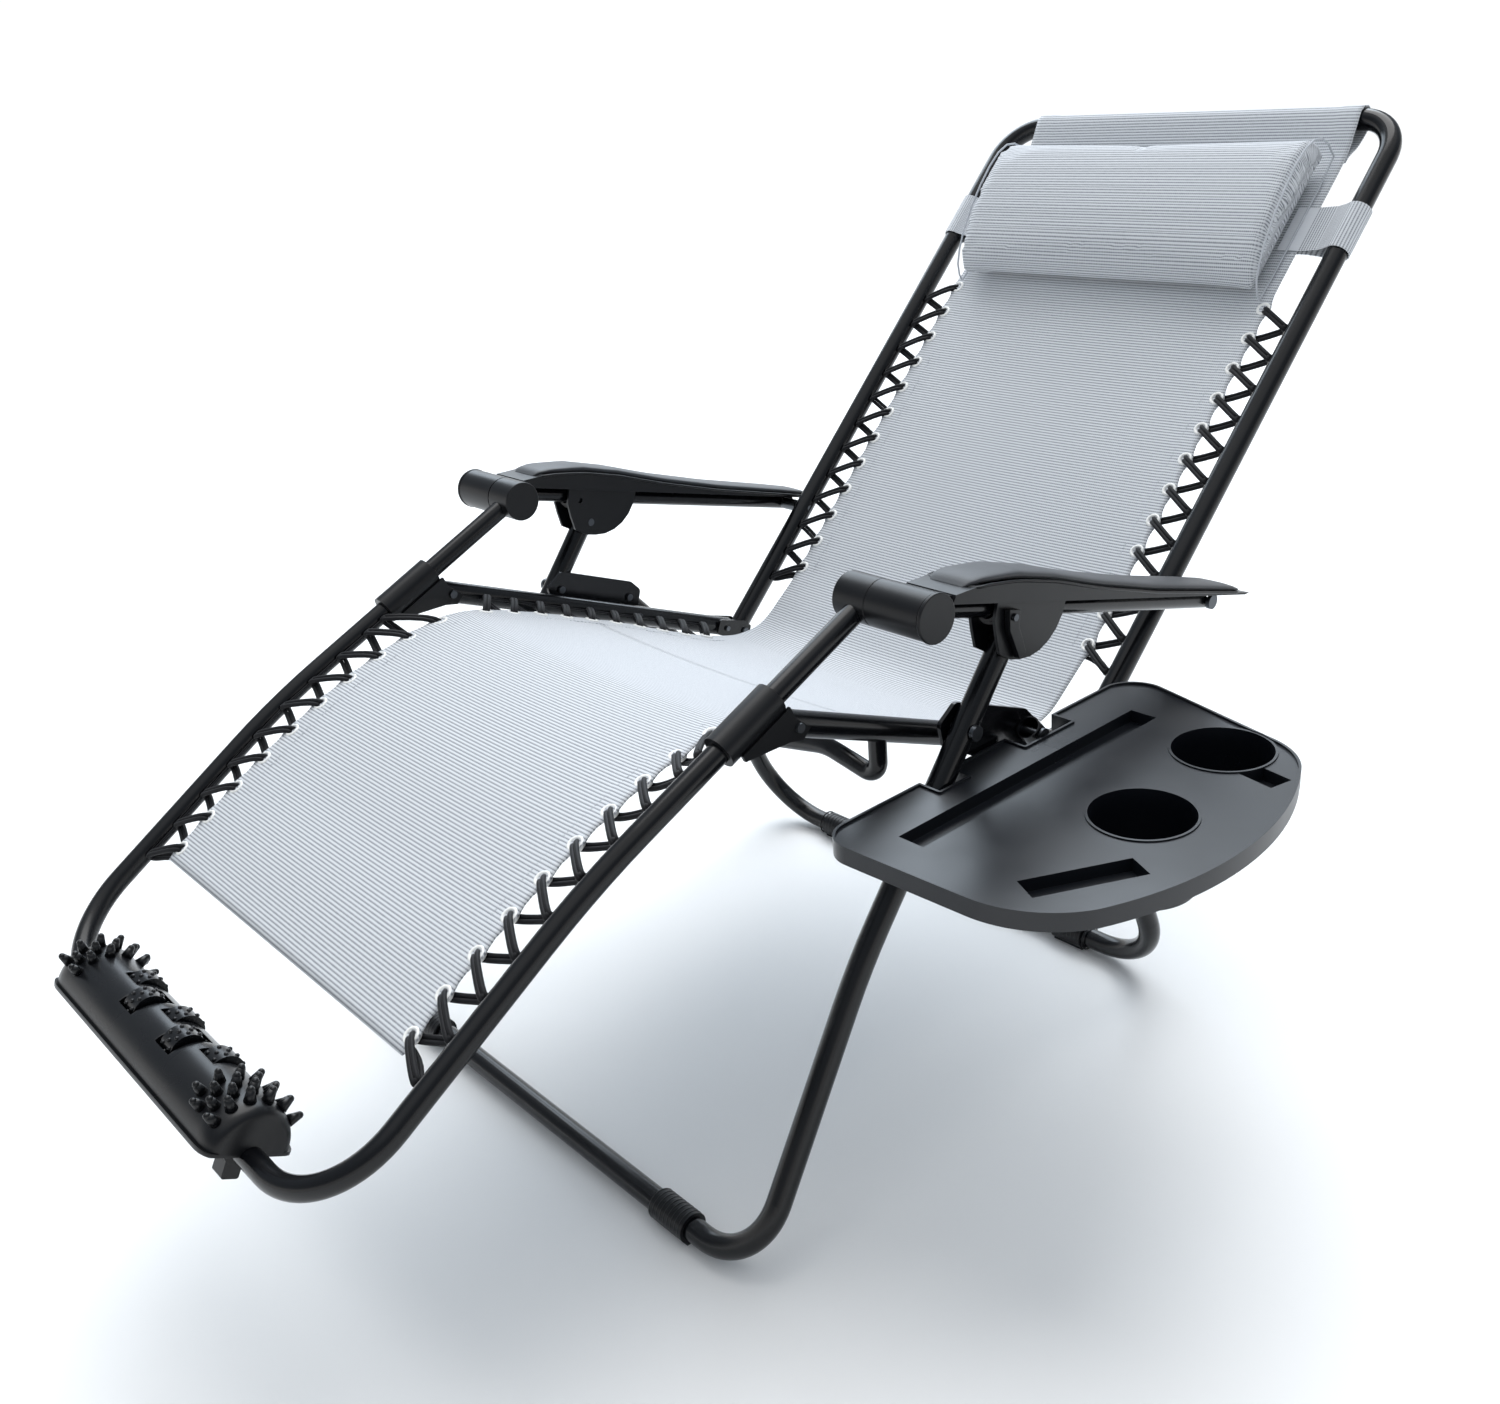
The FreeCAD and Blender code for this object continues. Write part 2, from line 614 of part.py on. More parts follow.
def latches():
    """Recline latches: cheeks on the leg top, a guide on the arm rail and a lock lever."""
    middle_x = size("leg_half")
    leg_reach = size("leg_tube") / 2 + size("side_gap")
    offset = (LATCH[1] - BARREL[1]) * math.cos(math.radians(ARM_SLOPE))
    offset -= (LATCH[0] - BARREL[0]) * math.sin(math.radians(ARM_SLOPE))
    distance = -(LATCH[0] - BARREL[0]) * math.cos(math.radians(ARM_SLOPE))
    distance -= (LATCH[1] - BARREL[1]) * math.sin(math.radians(ARM_SLOPE))

    def at(rearward, lift):
        """Side-view point relative to the latch bolt, in the arm's direction."""
        return arm_point(distance + rearward, offset + lift)

    outline = [at(-34, 36), at(-34, 20), at(-28, 6), at(-20, -9), at(-4, -14)]
    for step in range(7):
        turn = math.radians(-90 + 15 * step)
        outline.append(at(8 + 50 * math.cos(turn), 36 + 50 * math.sin(turn)))
    outline.append(at(58, 36.5))
    sleeve_bore = size("arm_tube") / 2 + 1.4
    pivot = at(-18, 24)
    bolt_hole = (LATCH, size("bolt") / 2 + size("running_gap"))
    for name, side in SIDES:
        x = side * middle_x
        cheeks = []
        for where, low in (("in", -leg_reach - size("plate")), ("out", leg_reach)):
            cheeks.append(
                lateral_prism(f"cheek_{name}_{where}", outline, x + low, x + low + size("plate"),
                              0.0, [bolt_hole, (pivot, 3.0 + size("fixed_gap"))]))
        centre = place(x, *at(6, -offset))
        sleeve = cylinder(f"guide_{name}", "12 mm", "70 mm", centre, arm_direction())
        ring = []
        for number, rear in enumerate((-22, 40)):
            centre_ring = place(x, *at(rear, -offset))
            ring.append(cylinder(f"guide_web_{name}_{number}", "14 mm", "8 mm", centre_ring,
                                 arm_direction()))
        solid = joined(f"latch_solid_{name}", cheeks + [sleeve] + ring)
        bore = cylinder(f"guide_bore_{name}", f"{sleeve_bore} mm", "120 mm", centre,
                        arm_direction())
        pin_bore = cylinder(f"lever_pin_bore_{name}", "3.04 mm", "40 mm",
                            place(x + side * 30, *pivot))
        tools = joined(f"latch_tools_{name}", [bore, pin_bore])
        keep(cut(f"latch_cut_{name}", solid, tools), "latch_housing_" + name)

        lever_x = x + side * (leg_reach + size("plate") + 0.5)
        lever_outline = [
            along(pivot, ARM_SLOPE, 7, -6), along(pivot, ARM_SLOPE, -7, -6),
            along(pivot, ARM_SLOPE, -9, 8), along(pivot, ARM_SLOPE, -24, 30),
            along(pivot, ARM_SLOPE, -17, 36), along(pivot, ARM_SLOPE, 2, 12),
        ]
        lever = lateral_prism(f"lever_{name}", lever_outline, lever_x, lever_x + side * 6,
                              0.0, [(pivot, 3.0 + size("running_gap"))])
        keep(lever, "latch_lever_" + name)
        low = leg_reach - 1.2
        high = leg_reach + size("plate") + 9
        keep(cylinder(f"lever_pin_{name}", "3 mm", f"{high - low - 1.2} mm",
                      place(x + side * (low + high + 1.2) / 2, *pivot)), "lever_pin_" + name)


# ---------------------------------------------------------------- side tray
def side_tray():
    """Moulded tray: a thin deck with a skirt and raised rim, slot troughs and two cup wells."""
    inner = size("tray_inner")
    depth = size("tray_depth")
    floor = 3.5
    cups = ((460.5, -10.0), (445.0, -146.0))
    slots = (
        [(340, 138), (366, 138), (366, -166), (340, -166)],
        [(451, 131), (474, 142), (517, 61), (494, 50)],
    )
    lines = [
        [(inner + 29, 180), (434, 175)], [(520, 126), (549.8, -17), (516, -146)],
        [(464, -188), (331, -222)],
    ]
    notches = [(-47, -112), (62.5, 27)]

    def flat(x, forward):
        """Point on the tray's own base plane."""
        return Vector(x, -forward, 0)

    def outline():
        """Closed wire of the deck: straight runs, round corners and two notches for the legs."""
        edges = [
            Part.LineSegment(flat(*lines[0][0]), flat(*lines[0][1])),
            Part.Arc(flat(434, 175), flat(487, 160), flat(520, 126)),
            Part.Arc(*[flat(*p) for p in lines[1]]),
            Part.Arc(flat(516, -146), flat(496, -173), flat(464, -188)),
            Part.LineSegment(flat(*lines[2][0]), flat(*lines[2][1])),
            Part.Arc(flat(331, -222), flat(306, -216), flat(inner, -196)),
        ]
        corner = (inner, -196)
        for front, rear in sorted(notches, key=lambda notch: notch[1]):
            low, high = min(front, rear), max(front, rear)
            for stop in ((inner, low), (inner + 22.5, low), (inner + 22.5, high), (inner, high)):
                edges.append(Part.LineSegment(flat(*corner), flat(*stop)))
                corner = stop
        edges.append(Part.LineSegment(flat(*corner), flat(inner, 152)))
        edges.append(Part.Arc(flat(inner, 152), flat(inner + 8, 172), flat(inner + 29, 180)))
        return Part.Wire([edge.toShape() for edge in edges])

    def box(corners, height, base):
        """Upright block on a four-cornered outline."""
        wire = Part.makePolygon([flat(*p) for p in corners + corners[:1]])
        block = Part.Face(wire).extrude(Vector(0, 0, height))
        block.translate(Vector(0, 0, base))
        return block

    def grown(corners, margin):
        """Four-cornered outline pushed outwards from its middle."""
        middle = [sum(p[k] for p in corners) / 4 for k in (0, 1)]
        result = []
        for p in corners:
            reach = math.dist(p, middle)
            result.append(tuple(middle[k] + (p[k] - middle[k]) * (reach + margin * 1.4) / reach
                                for k in (0, 1)))
        return result

    face = Part.Face(outline())
    deck = face.extrude(Vector(0, 0, depth + 2.0))
    recess = face.makeOffset2D(-2.4).extrude(Vector(0, 0, 4.0))
    recess.translate(Vector(0, 0, depth))
    deck = deck.cut(recess)
    hollow = face.makeOffset2D(-3.0).extrude(Vector(0, 0, depth - floor))
    for corners in slots:
        hollow = hollow.cut(box(grown(corners, 2.6), depth, 0.0))
    hollow = hollow.fuse(box([(inner - 4, 60), (inner - 4, 80), (inner + 26, 80),
                              (inner + 26, 60)], depth - floor, 0.0))
    stem = [(476, -117), (480, -139), (516, -132), (511, -110)]
    hollow = hollow.cut(box(grown(stem, 2.6), depth, 0.0))
    deck = deck.cut(hollow)
    for corners in slots + (stem,):
        deck = deck.cut(box(corners, 20.0, 3.0))
    radius = size("cup_dia") / 2
    for x, forward in cups:
        deck = deck.cut(Part.makeCylinder(radius + 2.3, 60.0, flat(x, forward) - Vector(0, 0, 5)))
    base = size("tray_top") - depth
    item = feature("tray_deck", deck.removeSplitter())
    item.Placement = FreeCAD.Placement(place(0, 0, base), FreeCAD.Rotation())
    keep(item, "side_tray")

    wells = []
    for number, (x, forward) in enumerate(cups):
        middle = place(x, forward, base + depth + 1.2 - size("cup_depth") / 2)
        outer = cylinder(f"well_{number}", "Dimensions.cup_dia / 2 + 2.2", "Dimensions.cup_depth",
                         middle, Vector(0, 0, 1))
        bore = cylinder(f"well_bore_{number}", "Dimensions.cup_dia / 2", "Dimensions.cup_depth",
                        middle + Vector(0, 0, 2.5), Vector(0, 0, 1))
        wells.append(cut(f"well_cut_{number}", outer, bore))
    keep(group("well_set", wells), "cup_wells")
    clip = lateral_prism(
        "tray_clip_body",
        [(80, 370.2), (134, 370.2), (134, 350), (120, 340), (92, 340), (82, 350)],
        318.0, 330.0, 3.0)
    keep(clip, "tray_clip")


# ---------------------------------------------------------------- foot massager
def massager():
    """Half-round massager shell clamped on the foot bar, with five knobbly rollers."""
    middle = size("massager_centre")
    half = size("massager_half")
    up = FOOT_LOWER_SLOPE + size("massager_turn")
    centre_line = along(FOOT_BAR, up, 0.0, -6.0)
    radius = size("massager_dia") / 2

    def round_up(angle, reach, lift=0.0):
        """Side-view point around the shell's own axis."""
        base = along(centre_line, up, 0.0, -lift)
        return along(base, up, reach * math.cos(math.radians(angle)),
                     -reach * math.sin(math.radians(angle)))

    outline = [round_up(180, radius, -2), round_up(0, radius, -2)]
    outline += [round_up(angle, radius) for angle in range(0, 181, 15)]
    shell = lateral_prism("massager_dome", outline, middle - half, middle + half)
    flange = lateral_prism(
        "massager_flange",
        [round_up(0, radius + 4, -2), round_up(0, radius + 4, 1),
         round_up(180, radius + 4, 1), round_up(180, radius + 4, -2)],
        middle - half - 1, middle + half + 1)
    solid = joined("massager_solid", [shell, flange])
    hollow_outline = [round_up(180, radius - 3, -4), round_up(0, radius - 3, -4)]
    hollow_outline += [round_up(angle, radius - 3) for angle in range(0, 181, 15)]
    hollow = lateral_prism("massager_hollow", hollow_outline, middle - half + 3, middle + half - 3)
    windows = []
    rollers = []
    roller_middle = along(centre_line, up, 0.0, -23.0)
    for number in range(5):
        x = middle + (number - 2) * 38.0
        shift = 7.0 if number % 2 else -7.0
        at = along(roller_middle, up, shift)
        window = cylinder(f"window_{number}", "Dimensions.roller_dia / 2 + 2.5", "26 mm",
                          place(x, *at))
        windows.append(window)
        wheel = cylinder(f"roller_wheel_{number}", "Dimensions.roller_dia / 2", "20 mm",
                         place(x, *at))
        bore = cylinder(f"roller_bore_{number}", "2.5 + Dimensions.running_gap", "30 mm",
                        place(x, *at))
        rollers.append(cut(f"roller_cut_{number}", wheel, bore))
    tools = joined("massager_tools", [hollow] + windows)
    opened = cut("massager_shell_cut", solid, tools)
    pocket = cylinder("massager_bar_space", "Dimensions.foot_tube / 2 + 0.3", "400 mm",
                      place(middle, *FOOT_BAR))
    keep(cut("massager_shell_body", opened, pocket), "massager_shell")
    pins = []
    for number, roller in enumerate(rollers):
        keep(roller, f"massage_roller_{number + 1}")
        x = middle + (number - 2) * 38.0
        shift = 7.0 if number % 2 else -7.0
        at = along(roller_middle, up, shift)
        pins.append(cylinder(f"roller_pin_{number}", "2.5 mm", "25.6 mm", place(x, *at)))
    keep(group("roller_pin_set", pins), "roller_pins")

    nubs = []
    for end, columns in ((-1, 3), (1, 4)):
        for column in range(columns):
            for row in range(4):
                x = middle + end * (half - 12 - 13 * column)
                turn = 42 + 32 * row
                base = round_up(turn, radius + 0.1)
                tip = round_up(turn, radius + 14)
                axis = place(0, *tip) - place(0, *base)
                cone = doc.addObject("Part::Cone", f"nub_{end + 1}_{column}_{row}")
                cone.Radius1 = 4.6
                cone.Radius2 = 2.2
                cone.Height = axis.Length
                cone.Placement = FreeCAD.Placement(
                    place(x, *base), FreeCAD.Rotation(Vector(0, 0, 1), axis))
                nubs.append(cone)
    keep(group("nub_set", nubs), "massager_nubs")

    clamps = []
    for number, x in enumerate((middle - half + 26, middle + half - 26)):
        ring = cylinder(f"clamp_ring_{number}", "Dimensions.foot_tube / 2 + 4", "22 mm",
                        place(x, *FOOT_BAR))
        lug = lateral_prism(
            f"clamp_lug_{number}",
            [along(FOOT_BAR, up, -7, 8), along(FOOT_BAR, up, 7, 8),
             along(FOOT_BAR, up, 7, 26), along(FOOT_BAR, up, -7, 26)], x - 8, x + 8, 2.0)
        body = joined(f"clamp_body_{number}", [ring, lug])
        bore = cylinder(f"clamp_bore_{number}", "Dimensions.foot_tube / 2 + 0.06", "60 mm",
                        place(x, *FOOT_BAR))
        clamps.append(cut(f"clamp_{number}", body, bore))
    keep(group("clamp_set", clamps), "massager_clamps")


# ---------------------------------------------------------------- sling, grommets and lacing
def sling_lines():
    """Side-view centre lines of the three sling panels, in the direction of their lacing."""
    leg = [(203.0, 450.5), (262.0, 440.5), (332.0, 416.5), (398.0, 384.5), (463.0, 348.0),
           (512.0, 316.0)]
    seat = [(163.0, 445.5), (94.0, 421.5), (-2.0, 381.5), (-94.0, 339.0), (-142.0, 321.0)]
    back = [along(BACK_HINGE, BACK_SLOPE, distance, -2.0) for distance in (724.0, 84.0)]
    return {"leg": leg, "seat": seat, "back": back}


def thicken(line, thickness):
    """Outline of a strip of even thickness around a side-view line."""
    upper, lower = [], []
    for index, point in enumerate(line):
        before = line[max(index - 1, 0)]
        after = line[min(index + 1, len(line) - 1)]
        angle = heading(before, after)
        upper.append(along(point, angle, 0, -thickness / 2))
        lower.append(along(point, angle, 0, thickness / 2))
    return upper + lower[::-1]


def walk(line, distance):
    """Point and heading at a distance along a side-view line."""
    left = distance
    for start, end in zip(line, line[1:]):
        run = math.dist(start, end)
        if left <= run or end == line[-1]:
            angle = heading(start, end)
            return along(start, angle, left), angle
        left -= run
    return line[-1], 0.0


def nearest(line, point):
    """Distance along a side-view line of its place closest to a point."""
    found = []
    passed = 0.0
    for start, end in zip(line, line[1:]):
        angle = heading(start, end)
        run = math.dist(start, end)
        reach = ((point[0] - start[0]) * math.cos(math.radians(angle))
                 + (point[1] - start[1]) * math.sin(math.radians(angle)))
        reach = min(max(reach, 0.0), run)
        found.append((math.dist(along(start, angle, reach), point), passed + reach))
        passed += run
    return min(found)[1]


def grommet_stations(name):
    """Evenly spaced grommet places along one panel as (point, heading)."""
    line = sling_lines()[name]
    first, pitch, count = {"leg": (6.0, 36.3, 10), "seat": (6.0, 33.6, 10),
                           "back": (221.5, 36.8, 12)}[name]
    return [walk(line, first + pitch * index) for index in range(count)]


def sling():
    """Sling panels, their grommets and the elastic lacing to the tubes."""
    for name, line in sling_lines().items():
        half = size("panel_half")
        panel = lateral_prism(f"sling_{name}_solid", thicken(line, size("panel_thick")), -half, half)
        holes, rings = [], []
        for number, (point, angle) in enumerate(grommet_stations(name)):
            normal = place(0, *along(point, angle, 0, -1)) - place(0, *point)
            for side_name, side in SIDES:
                centre = place(side * size("grommet_half"), *point)
                tag = f"{name}_{number}_{side_name}"
                holes.append(cylinder(f"eye_hole_{tag}", "Dimensions.grommet_dia / 2 - 2.5",
                                      "12 mm", centre, normal))
                lift = size("panel_thick") / 2 + 0.95
                ring = cylinder(f"eye_{tag}", "Dimensions.grommet_dia / 2", "0.7 mm",
                                centre + normal * lift, normal)
                bore = cylinder(f"eye_bore_{tag}", "Dimensions.grommet_dia / 2 - 2.5",
                                "12 mm", centre, normal)
                rings.append(cut(f"eye_ring_{tag}", ring, bore))
        tool = joined(f"sling_{name}_holes", holes)
        keep(cut(f"sling_{name}_cut", panel, tool), f"sling_{name}_panel")
        keep(group(f"grommet_{name}_set", rings), f"{name}_grommets")
        lacing(name)


def lacing(name):
    """Elastic cord from each grommet to the inner side of the tube and back, and a thin tie
    along each tube that the elastic hangs on."""
    line, radius, sitter, pitch = {
        "leg": ([BARREL, FOOT_KNEE, FOOT_BAR], size("foot_tube") / 2, -1, 36.3),
        "seat": ([FOOT_HINGE, BACK_HINGE], size("leg_tube") / 2, 1, 33.6),
        "back": ([BACK_TOP, BACK_HINGE], size("back_tube") / 2, -1, 36.8),
    }[name]
    reach = size("sling_half") - radius
    fitting_end = 190.0 if name == "leg" else 0.0
    stations = grommet_stations(name)
    hooks = [walk(line, max(nearest(line, point) + 0.6 * pitch, fitting_end))
             for point, _ in stations]

    def rise(spot, point, angle):
        """Height of a hook above the panel plane at an eye, on the sitter's side."""
        up = along(point, angle, 0, sitter)
        return (spot[0] - point[0]) * (up[0] - point[0]) + (spot[1] - point[1]) * (up[1] - point[1])

    cord = size("cord")
    solids = []
    for side_name, side in SIDES:
        route = []
        eye = side * (size("grommet_half") - 0.5)
        edge = side * (size("panel_half") + 5.5)
        before = stations[0][0]
        for (point, angle), (spot, turn) in zip(stations, hooks):
            if rise(before, point, angle) > 5.0:
                route.append(place(edge, *along(point, angle, -4, -sitter * 4.6)))
            route.append(place(eye, *along(point, angle, 0, -sitter * 5.0)))
            route.append(place(eye, *along(point, angle, 0, sitter * 5.0)))
            if rise(spot, point, angle) < -5.0:
                route.append(place(edge, *along(point, angle, 4, sitter * 4.6)))
            before = spot
            near = side * (reach - cord / 2 - 3.2)
            route.append(place(near, *along(spot, turn, 0, sitter * 3.6)))
            route.append(place(near, *along(spot, turn, 0, -sitter * 3.6)))
        last, angle = stations[-1]
        route.append(place(edge, *along(last, angle, 8, -sitter * 5)))
        route.append(place(side * (size("grommet_half") - 14), *along(last, angle, 8, -sitter * 5)))
        radii = []
        for before, corner, after in zip(route, route[1:], route[2:]):
            half_turn = (math.pi - (before - corner).getAngle(after - corner)) / 2
            shorter = min((before - corner).Length, (after - corner).Length)
            radii.append(min(0.46 * shorter / math.tan(half_turn), 30.0))
        solids.append(feature(f"lace_{name}_{side_name}", tube(route, radii, cord)))
        tie = [place(side * (reach - 1.6), *spot) for spot, _ in hooks]
        bends = [60.0] * (len(tie) - 2)
        straight = [abs((b - a).getAngle(c - b)) < 1e-4 for a, b, c in zip(tie, tie[1:], tie[2:])]
        kept = [tie[0]] + [p for p, flat in zip(tie[1:-1], straight) if not flat] + [tie[-1]]
        solids.append(feature(f"tie_{name}_{side_name}",
                              tube(kept, bends[:len(kept) - 2], 2.4)))
    keep(group(f"lace_{name}_set", solids), f"{name}_lacing")


def pillow():
    """D-section head pillow standing on the front of the back panel."""
    low, high = size("pillow_low"), size("pillow_high")
    thick = size("pillow_thick")
    face = 2.0
    outline = [
        along(BACK_HINGE, BACK_SLOPE, low, face), along(BACK_HINGE, BACK_SLOPE, high, face),
        along(BACK_HINGE, BACK_SLOPE, high, face + thick * 0.5),
        along(BACK_HINGE, BACK_SLOPE, high - 15, face + thick * 0.87),
        along(BACK_HINGE, BACK_SLOPE, high - 45, face + thick),
        along(BACK_HINGE, BACK_SLOPE, low + 66, face + thick * 0.88),
        along(BACK_HINGE, BACK_SLOPE, low + 24, face + thick * 0.6),
        along(BACK_HINGE, BACK_SLOPE, low + 2, face + thick * 0.25),
    ]
    half = size("pillow_half")
    keep(lateral_prism("pillow_body", outline, -half, half, 4.0), "head_pillow")
    solids = []
    for name, side in SIDES:
        strip = [along(BACK_HINGE, BACK_SLOPE, 577, 1.5), along(BACK_HINGE, BACK_SLOPE, 624, 1.5),
                 along(BACK_HINGE, BACK_SLOPE, 624, 3.3), along(BACK_HINGE, BACK_SLOPE, 577, 3.3)]
        solids.append(lateral_prism(f"strap_{name}", strip, side * (half + 0.3), side * 243.0))
    keep(group("strap_set", solids), "pillow_straps")


front_leg_frame()
rear_leg_frame()
foot_frame()
back_frame()
seat_rails()
seat_crossbar()
hub_plates()
pivot_bolts()
back_hinges()
foot_brackets()
floor_sleeves()
armrests()
arm_pins()
latches()
side_tray()
massager()
sling()
pillow()

doc.recompute()

faults = [item.Name for item in doc.Objects if {"Invalid", "Error"} & set(item.State)]
if faults:
    raise RuntimeError(f"objects that failed to compute: {faults}")
for item in parts:
    if item.Shape.isNull() or not item.Shape.isValid() or not item.Shape.Solids:
        raise RuntimeError(f"sub-part without a valid solid: {item.Label}")

os.makedirs("parts", exist_ok=True)
whole = FreeCAD.BoundBox()
for item in parts:
    item.Shape.exportStep(f"parts/{item.Label}.step")
    whole.add(item.Shape.BoundBox)
print(len(parts), "sub-parts", whole)
print("middle", whole.Center, "size", whole.XLength, whole.YLength, whole.ZLength)
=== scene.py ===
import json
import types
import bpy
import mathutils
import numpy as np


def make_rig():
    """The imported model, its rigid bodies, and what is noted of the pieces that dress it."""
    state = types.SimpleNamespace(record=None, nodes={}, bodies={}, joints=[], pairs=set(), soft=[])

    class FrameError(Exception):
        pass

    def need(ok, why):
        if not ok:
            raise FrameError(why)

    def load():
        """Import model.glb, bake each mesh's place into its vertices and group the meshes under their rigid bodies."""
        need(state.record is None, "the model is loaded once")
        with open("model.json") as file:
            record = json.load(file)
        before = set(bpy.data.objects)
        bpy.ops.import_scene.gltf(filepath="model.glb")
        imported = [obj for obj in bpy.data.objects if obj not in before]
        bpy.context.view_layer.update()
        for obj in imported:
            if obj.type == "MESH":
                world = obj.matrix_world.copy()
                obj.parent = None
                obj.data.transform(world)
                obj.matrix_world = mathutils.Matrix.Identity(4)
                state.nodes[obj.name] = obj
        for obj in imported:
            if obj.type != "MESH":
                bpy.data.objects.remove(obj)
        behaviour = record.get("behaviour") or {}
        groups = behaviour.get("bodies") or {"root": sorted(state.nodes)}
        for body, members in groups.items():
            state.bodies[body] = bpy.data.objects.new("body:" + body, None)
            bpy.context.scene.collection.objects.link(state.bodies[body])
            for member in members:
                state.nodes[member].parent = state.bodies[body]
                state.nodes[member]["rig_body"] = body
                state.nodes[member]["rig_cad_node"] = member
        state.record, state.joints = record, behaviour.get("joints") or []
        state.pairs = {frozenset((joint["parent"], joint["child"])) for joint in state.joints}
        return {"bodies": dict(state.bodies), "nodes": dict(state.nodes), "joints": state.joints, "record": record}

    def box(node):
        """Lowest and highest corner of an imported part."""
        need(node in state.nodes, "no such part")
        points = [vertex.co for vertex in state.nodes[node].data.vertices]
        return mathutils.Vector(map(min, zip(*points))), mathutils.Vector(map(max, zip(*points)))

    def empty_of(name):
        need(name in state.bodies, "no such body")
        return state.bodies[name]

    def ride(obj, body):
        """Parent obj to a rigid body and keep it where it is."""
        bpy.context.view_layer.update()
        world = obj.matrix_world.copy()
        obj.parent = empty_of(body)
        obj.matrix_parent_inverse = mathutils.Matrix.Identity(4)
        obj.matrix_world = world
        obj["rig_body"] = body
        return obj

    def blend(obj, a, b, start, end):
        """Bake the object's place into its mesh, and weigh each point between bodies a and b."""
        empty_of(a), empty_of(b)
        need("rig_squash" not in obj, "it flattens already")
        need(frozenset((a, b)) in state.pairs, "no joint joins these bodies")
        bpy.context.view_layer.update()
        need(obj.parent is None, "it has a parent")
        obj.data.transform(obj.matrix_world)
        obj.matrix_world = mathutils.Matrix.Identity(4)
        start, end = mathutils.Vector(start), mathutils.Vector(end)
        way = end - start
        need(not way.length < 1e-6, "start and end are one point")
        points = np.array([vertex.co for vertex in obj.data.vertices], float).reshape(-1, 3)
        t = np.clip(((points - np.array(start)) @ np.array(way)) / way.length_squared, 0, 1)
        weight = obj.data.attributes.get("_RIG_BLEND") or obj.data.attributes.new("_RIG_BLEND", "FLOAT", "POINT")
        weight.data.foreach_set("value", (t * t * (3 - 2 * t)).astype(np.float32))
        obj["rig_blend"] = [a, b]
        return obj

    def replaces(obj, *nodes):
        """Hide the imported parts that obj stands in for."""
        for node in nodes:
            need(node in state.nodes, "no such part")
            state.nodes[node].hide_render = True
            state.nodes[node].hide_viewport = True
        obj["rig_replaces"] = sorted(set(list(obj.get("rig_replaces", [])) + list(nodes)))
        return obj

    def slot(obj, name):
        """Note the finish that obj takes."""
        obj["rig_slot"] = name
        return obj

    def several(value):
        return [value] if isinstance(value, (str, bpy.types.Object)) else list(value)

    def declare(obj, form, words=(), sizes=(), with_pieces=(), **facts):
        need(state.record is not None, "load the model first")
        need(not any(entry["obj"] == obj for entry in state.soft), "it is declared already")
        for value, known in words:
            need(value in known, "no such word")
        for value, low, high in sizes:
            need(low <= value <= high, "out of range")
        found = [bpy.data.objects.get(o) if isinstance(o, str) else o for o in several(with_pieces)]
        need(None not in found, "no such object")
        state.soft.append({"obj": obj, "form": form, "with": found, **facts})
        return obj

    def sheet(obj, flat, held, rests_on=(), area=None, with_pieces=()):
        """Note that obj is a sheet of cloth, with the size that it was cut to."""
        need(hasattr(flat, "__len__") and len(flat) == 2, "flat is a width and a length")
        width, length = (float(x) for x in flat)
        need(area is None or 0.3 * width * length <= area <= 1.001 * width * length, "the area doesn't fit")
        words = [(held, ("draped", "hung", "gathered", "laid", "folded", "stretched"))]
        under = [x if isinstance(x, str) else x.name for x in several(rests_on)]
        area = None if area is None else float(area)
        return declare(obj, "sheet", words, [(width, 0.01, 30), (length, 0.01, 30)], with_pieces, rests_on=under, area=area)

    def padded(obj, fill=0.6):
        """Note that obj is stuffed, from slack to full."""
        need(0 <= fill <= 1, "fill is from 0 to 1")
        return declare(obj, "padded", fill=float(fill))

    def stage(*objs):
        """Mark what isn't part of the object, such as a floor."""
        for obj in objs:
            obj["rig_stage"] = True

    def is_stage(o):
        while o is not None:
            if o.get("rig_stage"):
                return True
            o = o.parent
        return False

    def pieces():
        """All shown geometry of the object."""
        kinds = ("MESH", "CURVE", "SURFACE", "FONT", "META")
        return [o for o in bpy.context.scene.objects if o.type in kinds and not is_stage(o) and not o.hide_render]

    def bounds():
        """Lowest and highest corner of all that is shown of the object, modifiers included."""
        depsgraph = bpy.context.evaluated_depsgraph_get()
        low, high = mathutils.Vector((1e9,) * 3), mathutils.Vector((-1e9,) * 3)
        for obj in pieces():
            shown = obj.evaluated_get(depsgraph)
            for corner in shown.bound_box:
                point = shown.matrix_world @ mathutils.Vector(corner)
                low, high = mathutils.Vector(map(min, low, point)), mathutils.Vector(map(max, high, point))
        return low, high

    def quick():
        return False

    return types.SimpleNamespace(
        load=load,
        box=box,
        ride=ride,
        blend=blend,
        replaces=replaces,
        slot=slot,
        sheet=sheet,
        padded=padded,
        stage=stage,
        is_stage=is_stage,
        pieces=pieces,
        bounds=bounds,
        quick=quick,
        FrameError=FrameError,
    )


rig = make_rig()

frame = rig.load()

# Looks of the zero gravity recliner: laced mesh sling, padded arms, head pillow, side tray and
# foot massager.  Sizes are millimetres in the side view (lateral, forward, height) until
# Layout.point turns them into metres of the row frame.
import json
import logging
import math
from dataclasses import dataclass, field
from enum import Enum
from typing import Callable

import bmesh
import bpy
from mathutils import Matrix, Vector

logging.basicConfig(level=logging.INFO, format="%(message)s")
log = logging.getLogger("recliner")

Pair = tuple[float, float]
Socket = bpy.types.NodeSocket


